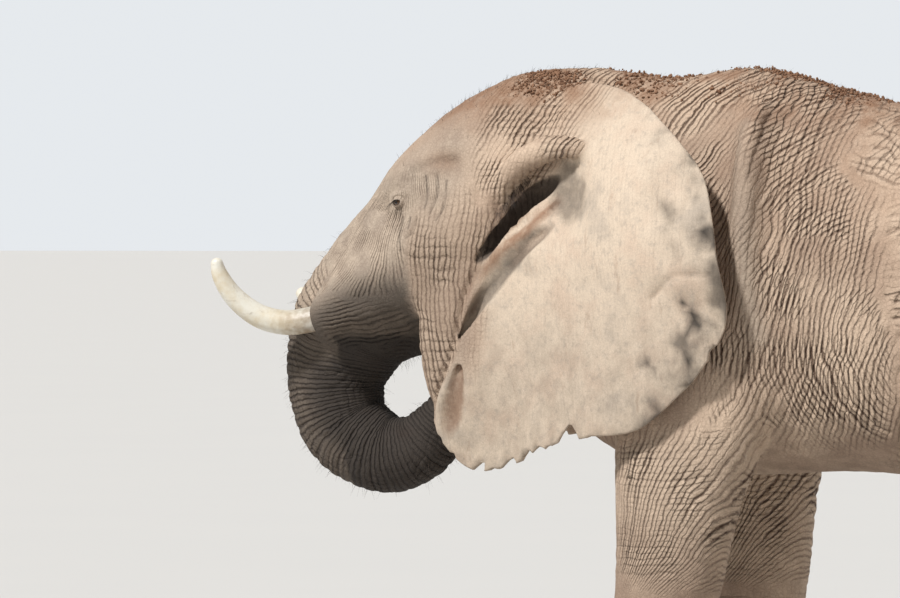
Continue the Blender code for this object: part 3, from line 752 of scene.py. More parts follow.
# Systems of folds: spacing in metres, or radians in a fan; how much they wander; and depth in metres
FOLDS = {
    "trunk": (1.0, 0.65, 0.0036),  # already in turns
    "cheek": (0.025, 1.15, 0.0048),
    "fan": (0.034, 1.25, 0.0030),
    "lip": (0.019, 1.1, 0.0052),
    "neck": (0.023, 1.1, 0.0036),
    "upper_leg": (0.025, 1.0, 0.0062),
    "low_leg": (0.030, 1.2, 0.0026),
    "flank": (0.033, 1.8, 0.0028),
    "tail": (0.026, 0.3, 0.0030),
    "shoulder": (0.028, 1.1, 0.0050),
    "across_flank": (0.036, 1.8, 0.0028),
    "thigh": (0.050, 1.0, 0.0048),
    "across_trunk": (0.024, 1.2, 0.0026),
    "across_upper_leg": (0.026, 0.9, 0.0026),
    "across_low_leg": (0.036, 1.4, 0.0014),
    "ear": (0.020, 0.9, 0.0006),
    "across_cheek": (0.045, 0.8, 0.0022),
    "crown": (0.030, 0.9, 0.0018),
}
FAN_DRIFT = 0.034 / 0.022  # radians that the face's fan turns for each metre sideways


def creases(p, parts):
    """Two sets of systems of folds: each system's phase in turns, its depth, and how many make a large one.

    Each phase is a distance over a spacing, made irregular by noise; each depth is in metres, times the
    share of the region that the system runs over.
    """
    y, z, s = p[:, 1], p[:, 2], np.abs(p[:, 0])
    wander = 1.1 * noise(p, 0.28, 11) + 0.50 * noise(p, 0.10, 12) + 0.20 * noise(p, 0.04, 13)
    broken = 0.25 + 0.75 * ramp(noise(p, 0.11, 14), -0.4, 0.2)
    torn = ramp(noise(p, 0.075, 16), -0.6, 0.25)
    patch = 0.5 + 0.5 * noise(p, 0.22, 15)
    run, trunk, neck, ear = parts["run"], parts["trunk"], parts["neck"], parts["ear"]
    head_crown = neck * ramp(y, -0.35, -0.6)

    fan = np.arctan2(FAN_TOP[0] - y, FAN_TOP[1] - z) - FAN_DRIFT * s
    face_lines = parts["face"] * ramp(run, 1.02, 0.80) * ramp(z, 2.86, 2.60)
    lip = ramp(y, -1.78, -1.64) * ramp(y, -1.12, -1.34) * ramp(z, 1.96, 2.04)
    lip = lip * ramp(z + 0.2 * (y + 1.5), 2.27, 2.14) * ramp(s, 0.12, 0.2) * (1 - parts["cheek"])
    round_neck = np.hypot(y - NECK_HEART[0], z - NECK_HEART[1])
    leg_turn = np.arctan2(z - LEG_FAN[1], y - LEG_FAN[0])
    upper_leg = parts["foreleg"] * ramp(z, 0.85, 1.20) * ramp(y, -0.33, -0.12)
    low_leg = ramp(z, 1.15, 0.75) * np.maximum(parts["foreleg"], parts["hindleg"])
    ankle = within(z, 0.20, 0.42, 0.1)
    thigh = parts["hindleg"] * ramp(z, 0.7, 1.05)
    flank = ramp(parts["back"], 0.50, 1.20) * (1 - parts["tail"]) * ramp(z, 0.95, 1.35)
    flank = flank * (1 + 0.4 * ramp(y, 2.0, 1.0))
    flank_share = (0.3 + patch) * broken
    sag = z + 0.10 * np.cos((y - 1.5) * 2.6)
    steep = 0.1 * (z - 2.6) - 0.25 * np.minimum(z - 2.6, 0) ** 2
    neck = neck * (1 - 0.65 * parts["blade"])
    shoulder = neck * ramp(y, 0.05, 0.45)

    def system(name, along, region, share=1.0, deeper=0.0, many=1):
        spacing, wanders, depth = FOLDS[name]
        return along / spacing + wanders * wander, region * (depth + deeper) * share, many

    rings = np.interp(run, NOSE_RUNS, NOSE_TURNS)
    ring_share = ramp(run, 0.60, 0.95) ** 0.7 * (0.55 + 0.45 * broken)
    main = [
        system("trunk", rings, trunk, ring_share, 0.0024 * patch, 2),
        system("cheek", y - parts["cheek_line"], parts["cheek"], 0.40 + 0.60 * broken, many=2),
        system("fan", fan, face_lines, torn * (0.4 + patch)),
        system("lip", z - 0.22 * y, lip, 0.35 + 0.65 * torn),
        system("neck", round_neck, neck, broken, 0.0028 * patch, np.where(y < -0.7, 1, 2)),
        system("upper_leg", -leg_turn, upper_leg, 0.45 + 0.55 * broken, many=2),
        system("low_leg", z, low_leg, broken, 0.0035 * ankle),
        system("flank", sag, flank, flank_share, many=2),
        system("tail", z, parts["tail"]),
    ]
    cross = [
        system("shoulder", y - steep, shoulder, 0.5 + patch, many=2),
        system("across_flank", y - 0.45 * z, flank, flank_share, many=2),
        system("thigh", y + 0.5 * z, thigh, broken),
        system("across_trunk", s, trunk, broken),
        system("across_upper_leg", z, upper_leg, broken, many=2),
        system("across_low_leg", y + s, low_leg, broken),
        system("ear", y + 0.1 * z, ear, patch),
        system("across_cheek", z, parts["cheek"], broken),
        system("crown", z, head_crown, broken),
    ]
    return main, cross


def strongest(folds):
    """The phase of the deepest system at each point, its depth above the next one's, and its number."""
    phase, deep, next_deep, number = (np.zeros(len(folds[0][0])) for _ in range(4))
    for index, (turns, depth, _) in enumerate(folds):
        next_deep = np.maximum(next_deep, np.minimum(depth, deep))
        phase = np.where(depth > deep, turns, phase)
        number = np.where(depth > deep, index, number)
        deep = np.maximum(deep, depth)
    return phase, ramp(deep - next_deep, 0, 0.3 * deep + 1e-9) * deep, number


def unmixed(mesh, depth, number):
    """The depth with every face flattened on which two systems of folds meet."""
    corners = np.empty(len(mesh.loops), np.int32)
    mesh.loops.foreach_get("vertex_index", corners)
    starts = np.empty(len(mesh.polygons), np.int32)
    mesh.polygons.foreach_get("loop_start", starts)
    totals = np.empty(len(mesh.polygons), np.int32)
    mesh.polygons.foreach_get("loop_total", totals)
    least, most = (pick.reduceat(number[corners], starts) for pick in (np.minimum, np.maximum))
    flat = depth.copy()
    flat[corners[np.repeat(least != most, totals)]] = 0
    return flat


def groove(phase, narrow=3.0):
    """1 in the middle of each fold, once each turn, and 0 on the ridges between."""
    return (0.5 + 0.5 * np.cos(2 * math.pi * phase)) ** narrow


# Creases drawn in the side view: Y and Z points, width and depth
FACE_LINES = [
    ([(-1.26, 2.775), (-1.16, 2.800), (-1.07, 2.805)], 0.020, 0.010),
    ([(-1.155, 2.745), (-1.140, 2.66), (-1.165, 2.58)], 0.007, 0.007),
    ([(-1.105, 2.72), (-1.095, 2.62), (-1.130, 2.55)], 0.006, 0.005),
    ([(-1.205, 2.74), (-1.185, 2.66), (-1.195, 2.60)], 0.006, 0.004),
    ([(-1.300, 2.560), (-1.310, 2.49), (-1.300, 2.42)], 0.006, 0.005),
    ([(-1.262, 2.560), (-1.268, 2.51)], 0.005, 0.005),
    ([(-1.232, 2.555), (-1.245, 2.50), (-1.272, 2.475)], 0.009, 0.012),
]
EAR_LINES = [
    ([(-0.03, 2.21), (0.04, 2.28), (0.10, 2.31), (0.24, 2.315)], 0.012, 0.009),
    ([(-0.02, 2.22), (0.03, 2.255)], 0.006, 0.006),
    ([(-0.13, 1.89), (-0.02, 1.94)], 0.008, 0.005),
    ([(-0.75, 2.30), (-0.45, 2.27), (-0.15, 2.30)], 0.010, 0.002),
    ([(-0.72, 2.05), (-0.60, 1.80), (-0.62, 1.55)], 0.020, 0.004),
    ([(-0.38, 2.20), (-0.32, 1.95), (-0.36, 1.72)], 0.020, 0.004),
    ([(-0.10, 2.75), (0.06, 2.55), (0.12, 2.40)], 0.020, 0.003),
]


def relief(p, up, parts):
    """How far the skin stands off the body's plain form, in metres, outwards."""
    y, z, s = p[:, 1], p[:, 2], np.abs(p[:, 0])
    main, cross = creases(p, parts)
    ear, out = parts["ear"], parts["ear_out"]
    bare = 1 - ear
    rise = np.zeros(len(p))
    for turns, depth, many in main + cross:
        rise += depth * (0.35 - groove(turns / many) * (0.8 + 0.2 * many))
    rise += 0.007 * layered(p, 0.35, 21, 2) * bare * (1 - 0.7 * parts["trunk"])
    rise += 0.0018 * noise(p, 0.035, 22) * bare
    outer = up[:, 0] * np.sign(p[:, 0])
    side_on = ramp(outer, 0.2, 0.6) * ramp(s, 0.24, 0.30)
    before = np.exp(-(((y - parts["ear_line"] + 0.012) / 0.013) ** 2)) * within(z, 1.50, 2.30, 0.05)
    rise -= 0.020 * before * side_on
    rise += parts["blade"] * 0.014
    rise += 0.006 * np.abs(layered(p, 0.03, 24, 2)) * ramp(z + 0.1 * up[:, 2], 3.02, 3.14) * bare
    for line, width, depth in FACE_LINES:
        rise -= depth * stroke(line, y, z, width) * side_on
    for line, width, depth in EAR_LINES:
        rise -= depth * stroke(line, y, z, width) * out
    return rise


def ear_sway(p, parts):
    """How far the ear's sheet sways sideways, alike on both faces: slow waves that grow to the edge."""
    y, z = p[:, 1], p[:, 2]
    free = parts["ear"] * ramp(parts["rim"], 0.55, 0.0)
    angle = np.arctan2(z - EAR_MIDDLE[1], y - EAR_MIDDLE[0])
    wave = 0.012 * np.sin(7 * angle + 0.6) + 0.007 * np.sin(13 * angle + 2.0)
    pleats = 0.004 * np.sin((y + 0.08 * z) * 42 + 2.0 * np.sin(3 * z))
    curl = -0.020 * ramp(parts["rim"], 0.10, 0.0) * ramp(y, -0.4, 0.1)
    slow = 0.006 * noise(p * (1, 1, 0.5), 0.16, 71)
    return parts["ear"] * slow + free * (wave + pleats) + curl * parts["ear"]


# Eyes ---------------------------------------------------------------------------------------------
EYE_RADIUS = 0.024
LID = 0.0035  # thickness of the lids over the ball
OPEN_LENGTH = 0.021
OPEN_HEIGHT = 0.0115
POCKET = 0.011  # how far behind the ball's front the skin passes where the lids are open
LIDS_REACH = 0.12  # how far round each eye the skin is moved


def eye_axes(field, side):
    """Along the slit, across it and outwards, at one eye: outwards is the face's own slope there."""
    middle = EYE * (side, 1, 1)
    _, out = slope(field, middle[None], 0.02)
    out = unit(out[0])
    along = np.array((0.0, 1.0, 0.32))
    along = unit(along - out * (along @ out))
    across = np.cross(out, along) * side
    return middle, along, across, out


def lids(field, p):
    """The skin drawn over each eyeball and opened in an almond, with a pocket behind it for the ball."""
    moved = p.copy()
    for side in (1, -1):
        middle, along, across, out = eye_axes(field, side)
        near_eye = np.linalg.norm(p - middle, axis=1) < LIDS_REACH
        q = moved[near_eye] - middle
        u, v, w = q @ along, q @ across, q @ out
        r = np.hypot(u, v)
        ball = np.sqrt(np.maximum(EYE_RADIUS**2 - r**2, 0))
        lid = np.sqrt(np.maximum((EYE_RADIUS + LID) ** 2 - r**2, 0)) + 0.001
        brow = 0.016 * np.exp(-((u / 0.040) ** 2 + ((v - 0.036) / 0.016) ** 2))
        mound = 0.011 * np.exp(-((r / 0.040) ** 2)) + brow
        over = -smooth_min(-w - mound, -np.where(r < EYE_RADIUS + LID, lid, -1), 0.014)
        ring = np.hypot(u / 1.25, v)
        over += 0.0022 * np.exp(-(((ring - 0.020) / 0.005) ** 2))
        over -= 0.0032 * np.exp(-(((ring - 0.029) / 0.004) ** 2))
        over -= 0.0022 * np.exp(-(((ring - 0.041) / 0.004) ** 2)) * ramp(v, -0.03, 0.01)
        half = OPEN_HEIGHT * np.maximum(1 - (u / OPEN_LENGTH) ** 2, 0) ** 0.75
        opened = ramp(np.abs(v + 0.001) - half, 0.0012, -0.0014)
        opened = np.where(np.abs(u) < OPEN_LENGTH, opened, 0)
        w_new = over * (1 - opened) + (ball - POCKET) * opened
        moved[near_eye] += (w_new - w)[:, None] * out
    return moved


# The skin as a mesh -------------------------------------------------------------------------------
SKIN_LOW = (-1.0, -2.4, -0.05)
SKIN_HIGH = (1.0, 3.0, 3.4)
EAR_PAD = 0.006
EYE_PATCH = 0.085  # how far round each eye the skin is at its finest
SKIN_TRIANGLES = 197000
THIN_FACTOR = 2e-4  # how much dearer it makes an edge, by its length, where the skin is to stay fine
THIN_STEPS = 10  # of weight between nothing and all


def read(mesh, name, width, kind=np.float32):
    """One array of a mesh's vertices."""
    found = np.empty(len(mesh.vertices) * width, kind)
    mesh.vertices.foreach_get(name, found)
    return found.reshape(-1, width).astype(float)


def plain_mesh(name, points, faces):
    """A mesh from arrays of points and of faces that all have as many corners."""
    mesh = bpy.data.meshes.new(name)
    mesh.vertices.add(len(points))
    mesh.vertices.foreach_set("co", np.ascontiguousarray(points, np.float32).ravel())
    mesh.loops.add(faces.size)
    mesh.loops.foreach_set("vertex_index", np.ascontiguousarray(faces, np.int32).ravel())
    mesh.polygons.add(len(faces))
    mesh.polygons.foreach_set("loop_start", np.arange(len(faces), dtype=np.int32) * faces.shape[1])
    mesh.update(calc_edges=True)
    return mesh


def refined(mesh, chosen):
    """Each face whose corners are all chosen is split in four."""
    bm = bmesh.new()
    bm.from_mesh(mesh)
    bm.verts.ensure_lookup_table()
    edges = [e for e in bm.edges if chosen[e.verts[0].index] and chosen[e.verts[1].index]]
    bmesh.ops.subdivide_edges(bm, edges=edges, cuts=1, use_grid_fill=True)
    bm.to_mesh(mesh)
    bm.free()
    mesh.update()


def from_eyes(points):
    """How far each point is from the nearer eye."""
    return np.minimum(*[np.linalg.norm(points - EYE * (side, 1, 1), axis=1) for side in (1, -1)])


def dense_skin():
    """The body's surface in small quads, finer on the head and trunk, and finest round the eyes."""
    field = make_flesh()
    points, quads = surface_net(make_flesh(EAR_PAD), SKIN_LOW, SKIN_HIGH)
    points, _ = settle(field, points, 0.008, 2)
    mesh = plain_mesh("skin", points, quads)
    y, z = points[:, 1], points[:, 2]
    fine = (y < -0.98) | ((y < -0.6) & (z > 2.3) & (y < -0.98 + 0.9 * (z - 2.3)))
    refined(mesh, fine)
    points = read(mesh, "co", 3)
    refined(mesh, from_eyes(points) < EYE_PATCH)
    points = read(mesh, "co", 3)
    points, up = settle(field, points, 0.004, 2)
    return field, mesh, points, up


def thinned(mesh, thickest, triangles):
    """The mesh with its edges collapsed to this many triangles; a low share keeps more of them."""
    body = bpy.data.objects.new("thinning", mesh)
    bpy.context.scene.collection.objects.link(body)
    group = body.vertex_groups.new(name="thin")
    for step in range(1, THIN_STEPS + 1):
        chosen = np.nonzero(np.round(thickest * THIN_STEPS) == step)[0]
        if len(chosen):
            group.add(chosen.tolist(), step / THIN_STEPS, "REPLACE")
    thin = body.modifiers.new("thin", "DECIMATE")
    thin.ratio = triangles / (2 * len(mesh.polygons))
    thin.vertex_group = group.name
    thin.vertex_group_factor = THIN_FACTOR
    held = body.evaluated_get(bpy.context.evaluated_depsgraph_get())
    made = bpy.data.meshes.new_from_object(held)
    bpy.data.objects.remove(body)
    bpy.data.meshes.remove(mesh)
    return made


def float_attribute(mesh, name, kind, values):
    """Stores an array of numbers or colours on the mesh's vertices."""
    layer = mesh.attributes.new(name, kind, "POINT")
    key = {"FLOAT": "value", "FLOAT_COLOR": "color", "FLOAT_VECTOR": "vector"}[kind]
    layer.data.foreach_set(key, np.ascontiguousarray(values, np.float32).ravel())


# Y, then Z, of the muzzle's dark edge
LIP_LINE = ((-1.90, -1.82, -1.52, -1.29, -1.10), (2.20, 2.22, 2.36, 2.385, 2.36))
# Stains drawn in the side view on the ears: Y and Z points, width and strength
EAR_STAINS = [
    ([(0.13, 2.21), (0.18, 2.12)], 0.040, 1.15),
    ([(0.10, 2.03), (0.14, 1.90)], 0.042, 1.2),
    ([(0.12, 1.85), (0.10, 1.78)], 0.034, 0.8),
    ([(-0.08, 1.97), (-0.02, 1.92)], 0.034, 0.8),
    ([(0.035, 1.853), (0.037, 1.851)], 0.008, 1.5),
    ([(0.13, 2.72), (0.22, 2.45), (0.26, 2.15)], 0.035, 0.7),
    ([(0.02, 2.62), (0.06, 2.56)], 0.035, 0.55),
    ([(0.05, 2.50), (0.12, 2.38)], 0.040, 0.45),
    ([(-0.80, 2.08), (-0.83, 2.02)], 0.04, 0.45),
    ([(-0.45, 2.15), (-0.30, 2.10), (-0.12, 2.16)], 0.06, 0.16),
    ([(-0.70, 1.70), (-0.66, 1.56)], 0.05, 0.20),
]


def soil_and_shade_share(p, up, parts, cloud, speckle):
    """Where red soil lies: crown, back, the ear's top, ridge and front, the trunk, the cheek; and, in the
    soil's colour, painted shade in the temporal hollow.
    """
    y, z = p[:, 1], p[:, 2]
    bare = 1 - parts["ear"]
    crown = ramp(z + 0.20 * up[:, 2] + 0.10 * cloud + 0.05 * speckle, 2.92, 3.26) * bare
    back = 0.45 * ramp(z + 0.3 * cloud, 2.2, 3.0) * ramp(y, -0.3, 0.6) * bare
    # Painted shade of the temporal hollow, in the soil's colour.
    temple_shade = 0.55 * np.exp(-(((y + 1.13) / 0.09) ** 2 + ((z - 2.80) / 0.05) ** 2))
    trunk = 0.9 * np.exp(-(((y + 1.40) / 0.05) ** 2 + ((z - 1.62) / 0.03) ** 2)) * parts["trunk"]
    ridge = 0.9 * ramp(either_side(EAR_RIDGE)(p), 0.02, 0.0)
    ear_top = 0.55 * parts["ear_out"] * ramp(z + 0.2 * cloud + 0.08 * speckle, 2.92, 3.16)
    front_fold = ramp(either_side(EAR_HOLLOWS[2])(p), 0.008, -0.004)
    cheek = 0.36 * parts["cheek"]
    return np.maximum.reduce([crown, back, temple_shade, trunk, ridge, cheek, ear_top, front_fold])


def dark_and_shade_share(p, up, parts, cloud, speckle):
    """Where skin is dark or shade is painted: the trunk's damp skin with painted shade from the head, the
    muzzle's damp skin with painted shade, painted shade under the chin, on downward faces, in the ear's
    hollows, as the hood's shadow in its bowl and along the face's creases; and the ear's lower part, stains
    and rear margin, the legs, the cheek and the tail's end.
    """
    y, z, s = p[:, 1], p[:, 2], np.abs(p[:, 0])
    bare, off_cheek = 1 - parts["ear"], 1 - parts["cheek"]
    # The trunk's damp dark skin with painted shade from the head's shadow, a little lighter on its outer
    # side.
    outer = ramp(parts["off"], 0.12, -0.02)
    snout = parts["trunk"] * ramp(parts["run"], 0.75, 1.15) * (0.86 + 0.14 * outer)
    # Painted shade on the trunk's inner side.
    inner_shade = parts["trunk"] * ramp(parts["off"], 0.02, -0.06)
    # Painted shade under the chin.
    chin = within(y, -1.66, -1.10, 0.05) * ramp(z, 2.16, 2.02) * off_cheek * bare
    # Painted shade on faces that turn downwards.
    below = ramp(up[:, 2], -0.35, -0.9) * ramp(z, 0.3, 0.6) * 0.4
    # The muzzle's damp skin below its lip line, with painted shade.
    muzzle = ramp(y, -1.06, -1.24) * ramp(z - flow(y, *LIP_LINE), 0.04, -0.16) * off_cheek * bare
    # Painted shade in the ear's opening, in the valley behind its ridge and in its front fold.
    hollows = [either_side(rows)(p) for rows in EAR_HOLLOWS]
    opening, valley_shade = ramp(hollows[0], 0.012, -0.003), 0.95 * ramp(hollows[1], 0.016, -0.008)
    front_fold = 0.85 * ramp(hollows[2], 0.006, -0.012)
    # Painted shadow of the ear's hood, cast into the bowl below it.
    bowl = np.hypot((y + 0.50) / 0.11, (z - 2.655) / 0.13) + 0.3 * speckle
    bowl = 0.6 * parts["ear_out"] * ramp(bowl, 1.15, 0.75)
    low_ear = parts["ear_out"] * (0.32 * ramp(z + 0.15 * cloud, 2.35, 1.85) + 0.10 * (cloud > 0) * cloud)
    margin = parts["ear_out"] * ramp(parts["rim"], 0.20, 0.0) * ramp(y, -0.25, 0.0)
    margin = margin * ramp(speckle + cloud, -0.5, 0.6)
    legs = 0.24 * np.maximum(parts["foreleg"], parts["hindleg"])
    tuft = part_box("tail_tuft")[1][2]
    tail_end = 0.85 * parts["tail"] * ramp(z, tuft + 0.10, tuft - 0.15)
    dark = [
        snout, inner_shade, chin, below, 0.85 * muzzle, opening, valley_shade, front_fold, bowl, low_ear, 0.85 * margin,
        legs, 0.24 * parts["cheek"], tail_end,
    ]
    # Painted shade along the face's creases.
    for line, width, _ in FACE_LINES:
        dark.append(0.0035 / width * stroke(line, y, z, width) * ramp(s, 0.2, 0.3) * bare)
    fleck = noise(p * (1, 1, 0.5), 0.07, 33)
    blotchy = 1.25 * parts["ear_out"] * (0.75 + 0.5 * speckle + 0.7 * fleck)
    for line, width, strength in EAR_STAINS:
        dark.append(strength * stroke(line, y, z, width) * blotchy)
    return np.clip(np.maximum.reduce(dark), 0, 1)


def markings(p, up, parts):
    """Shares of four colours at each point: the ear's pale skin, the face's grey, soil with painted shade in
    the temporal hollow, and dark skin with painted shade.
    """
    y, z = p[:, 1], p[:, 2]
    cloud, speckle = layered(p, 0.5, 31, 3), noise(p, 0.05, 32)
    ear = parts["ear_out"] + 0.35 * (parts["ear"] - parts["ear_out"])
    face = np.maximum(ramp(y, -0.85, -1.15) * ramp(z + 0.3 * cloud, 3.05, 2.70), parts["trunk"])
    face = np.maximum(face * (1 - 0.45 * parts["cheek"]), 0.9 * parts["blade"])
    shares = [make(p, up, parts, cloud, speckle) for make in (soil_and_shade_share, dark_and_shade_share)]
    return np.stack([ear, face, *shares], 1)


def make_skin():
    """The dense skin given its folds and lids, then thinned to the number of triangles it may have."""
    field, mesh, points, up = dense_skin()
    parts = regions(points)
    float_attribute(mesh, "plain", "FLOAT_VECTOR", points)
    points = points + relief(points, up, parts)[:, None] * up
    points[:, 0] += np.sign(points[:, 0]) * ear_sway(points, parts)
    points = lids(field, points)
    points[:, 2] = np.maximum(points[:, 2], 0)
    mesh.vertices.foreach_set("co", points.astype(np.float32).ravel())
    mesh.update()
    head = ramp(points[:, 1], -0.80, -1.05) * (1 - parts["ear"])
    closest = from_eyes(points)
    mouth = ramp(either_side(EAR_HOLLOWS[0])(points), 0.16, 0.08)
    edge = ramp(parts["rim"], 0.30, 0.20) * ramp(points[:, 1], -0.30, -0.10)
    flaps = parts["ear"] * (0.25 + 0.30 * edge)
    fine = np.maximum.reduce([0.75 * head, 0.75 * mouth, flaps, np.full(len(points), 0.1)])
    mesh = thinned(mesh, np.clip(1 - fine - ramp(closest, 0.12, 0.08), 0, 1), SKIN_TRIANGLES)
    points = read(mesh, "co", 3)
    up = read(mesh, "normal", 3)
    plain = np.empty(3 * len(points), np.float32)
    mesh.attributes["plain"].data.foreach_get("vector", plain)
    mesh.attributes.remove(mesh.attributes["plain"])
    plain = plain.reshape(-1, 3).astype(float)
    parts = regions(plain)
    folds = []
    for systems in creases(plain, parts):
        phase, depth, number = strongest(systems)
        folds += [phase, unmixed(mesh, depth, number)]
    float_attribute(mesh, "folds", "FLOAT_COLOR", np.stack(folds, 1))
    float_attribute(mesh, "marks", "FLOAT_COLOR", markings(plain, up, parts))
    mesh.vertices.foreach_set("co", (points + SHIFT).astype(np.float32).ravel())
    mesh.shade_smooth()
    mesh.update()
    return mesh


# Materials ----------------------------------------------------------------------------------------
class Wiring:
    """Adds nodes to a tree; a value given for a socket is a number, a colour or another socket."""

    def __init__(self, tree):
        self.tree = tree

    def node(self, kind, values=None, **settings):
        node = self.tree.nodes.new("ShaderNode" + kind)
        for name, value in settings.items():
            setattr(node, name, value)
        for key, value in (values or {}).items():
            if isinstance(value, bpy.types.NodeSocket):
                self.tree.links.new(value, node.inputs[key])
            else:
                node.inputs[key].default_value = value
        return node

    def math(self, operation, *values, clamp=False):
        given = {i: v for i, v in enumerate(values)}
        return self.node("Math", given, operation=operation, use_clamp=clamp).outputs[0]

    def times(self, a, b, clamp=False):
        return self.math("MULTIPLY", a, b, clamp=clamp)

    def rest(self, share):
        """What a share leaves of one."""
        return self.math("SUBTRACT", 1.0, share)

    def mix(self, share, a, b):
        """A colour, and this share of another over it."""
        return self.node("Mix", {0: share, 6: a, 7: b}, data_type="RGBA").outputs[2]

    def noise(self, where, scale, detail=2.0, roughness=0.5):
        given = {"Vector": where, "Scale": scale, "Detail": detail, "Roughness": roughness}
        return self.node("TexNoise", given).outputs[0]

    def borders(self, where, scale):
        """Distance to the nearest border between cells."""
        given = {"Vector": where, "Scale": scale}
        return self.node("TexVoronoi", given, feature="DISTANCE_TO_EDGE").outputs[0]

    def between(self, value, low, high, to_low=0.0, to_high=1.0):
        """An eased step: to_low where the value is low, to_high where it is high."""
        given = {0: value, 1: low, 2: high, 3: to_low, 4: to_high}
        return self.node("MapRange", given, interpolation_type="SMOOTHSTEP").outputs[0]


def group(name, inputs, outputs, fill):
    """A node group with these named sockets, filled by a function that returns its outputs' values."""
    tree = bpy.data.node_groups.new(name, "ShaderNodeTree")
    for label, kind, value in inputs:
        socket = tree.interface.new_socket(label, in_out="INPUT", socket_type="NodeSocket" + kind)
        if value is not None:
            socket.default_value = value
    for label, kind in outputs:
        tree.interface.new_socket(label, in_out="OUTPUT", socket_type="NodeSocket" + kind)
    wiring = Wiring(tree)
    start, end = tree.nodes.new("NodeGroupInput"), tree.nodes.new("NodeGroupOutput")
    for (label, _), value in zip(outputs, fill(wiring, start.outputs)):
        tree.links.new(value, end.inputs[label])
    return tree


def fold_group():
    """Each fold's groove, from 0 on the ridge to 1 in the groove, and its height in metres."""

    def fill(w, given):
        stir = w.math("MULTIPLY_ADD", w.noise(given["Vector"], 38.0, 2.0, 0.6), 0.5, -0.25)
        phase = w.math("ADD", given["Phase"], stir)
        wave = w.math("MULTIPLY_ADD", w.math("COSINE", w.times(phase, 2 * math.pi)), 0.5, 0.5)
        own = w.node("TexWhiteNoise", {"W": w.math("ROUND", phase)}, noise_dimensions="1D").outputs[0]
        width = w.times(given["Narrow"], w.math("MULTIPLY_ADD", own, 1.3, 0.6))
        deep = w.times(w.math("POWER", wave, width), w.math("MULTIPLY_ADD", own, -0.6, 1.15))
        height = w.times(w.times(deep, given["Depth"]), -1.0)
        return deep, height

    inputs = [
        ("Vector", "Vector", None),
        ("Phase", "Float", 0.0),
        ("Depth", "Float", 0.0),
        ("Narrow", "Float", 3.0),
    ]
    return group("Skin Fold", inputs, [("Groove", "Float"), ("Height", "Float")], fill)


def crack_group():
    """A net of fine cracks between plates of skin, on the object's own coordinates."""

    def fill(w, given):
        stir = w.node("TexNoise", {"Vector": given["Vector"], "Scale": w.times(given["Scale"], 0.45)})
        shift = w.node("VectorMath", {0: stir.outputs[1], 3: 0.012}, operation="SCALE").outputs[0]
        where = w.node("VectorMath", {0: given["Vector"], 1: shift}, operation="ADD").outputs[0]
        large = w.between(w.borders(where, given["Scale"]), 0.0, given["Width"])
        small = w.between(w.borders(where, w.times(given["Scale"], 2.6)), 0.0, given["Width"])
        plates = w.math("MULTIPLY_ADD", small, 0.35, w.times(large, 0.65))
        return w.rest(plates), plates

    inputs = [("Vector", "Vector", None), ("Scale", "Float", 60.0), ("Width", "Float", 0.25)]
    return group("Skin Cracks", inputs, [("Crack", "Float"), ("Height", "Float")], fill)


def dust_group():
    """A colour dusted over with another in soft patches."""

    def fill(w, given):
        large = w.noise(given["Vector"], 3.0, 4.0, 0.6)
        fine = w.noise(given["Vector"], 70.0, 3.0, 0.6)
        patches = w.math("MULTIPLY_ADD", fine, 0.5, w.times(large, 0.7))
        share = w.times(w.between(patches, 0.42, 0.78), given["Amount"], clamp=True)
        return w.mix(share, given["Color"], given["Dust"]), share

    inputs = [
        ("Vector", "Vector", None),
        ("Color", "Color", (0.5, 0.5, 0.5, 1)),
        ("Dust", "Color", (0.4, 0.25, 0.16, 1)),
        ("Amount", "Float", 0.5),
    ]
    return group("Dust", inputs, [("Color", "Color"), ("Share", "Float")], fill)


def material(name, fill, **sockets):
    """A material whose shader has these fixed values, and whose other sockets fill() feeds."""
    made = bpy.data.materials.new(name)
    made.use_nodes = True
    shader = made.node_tree.nodes["Principled BSDF"]
    for key, value in sockets.items():
        shader.inputs[key.replace("_", " ")].default_value = value
    w = Wiring(made.node_tree)
    w.place = w.node("TexCoord").outputs["Object"]
    for key, value in fill(w).items():
        made.node_tree.links.new(value, shader.inputs[key])
    return made


def used(w, name, make, values):
    """Places a node group in a material; the group is built once, when the first material asks for it."""
    tree = bpy.data.node_groups.get(name) or make()
    return w.node("Group", values, node_tree=tree).outputs


def raised(w, height, strength=1.0):
    """A normal from a height in metres."""
    return w.node("Bump", {"Strength": strength, "Distance": 1.0, "Height": height}).outputs[0]


# Shares of painted shade in the grooves, and of dust with painted highlight on the ridges
GROOVE_SHADE_SHARE = 115.0  # of the groove's colour, for each metre that a fold is deep
RIDGE_DUST_AND_HIGHLIGHT_SHARE = 90.0  # of the ridge's colour, likewise
DARKEST = 0.94  # share of the dark colour where a mark is whole
FOLD_RELIEF = 1.8  # how much the lines of the material add to the folds of the shape


def ear_colour(w, look):
    """The ear's pale skin, with pink and grey in blotches and dust in upright streaks."""
    blotch = w.noise(w.place, 4.5, 3.0, 0.6)
    colour = w.mix(w.between(blotch, 0.45, 0.70, 0.0, 0.7), look["ear"], look["ear_pink"])
    colour = w.mix(w.between(blotch, 0.46, 0.28, 0.0, 0.6), colour, look["ear_grey"])
    fine = w.noise(w.place, 30.0, 4.0, 0.7)
    colour = w.mix(w.between(fine, 0.52, 0.30, 0.0, 0.5), colour, look["ear_grey"])
    streak = w.noise(w.node("Mapping", {0: w.place, 3: (1.0, 1.0, 0.3)}).outputs[0], 16.0, 4.0, 0.7)
    return w.mix(w.between(streak, 0.58, 0.75, 0.0, 0.55), colour, look["body"])


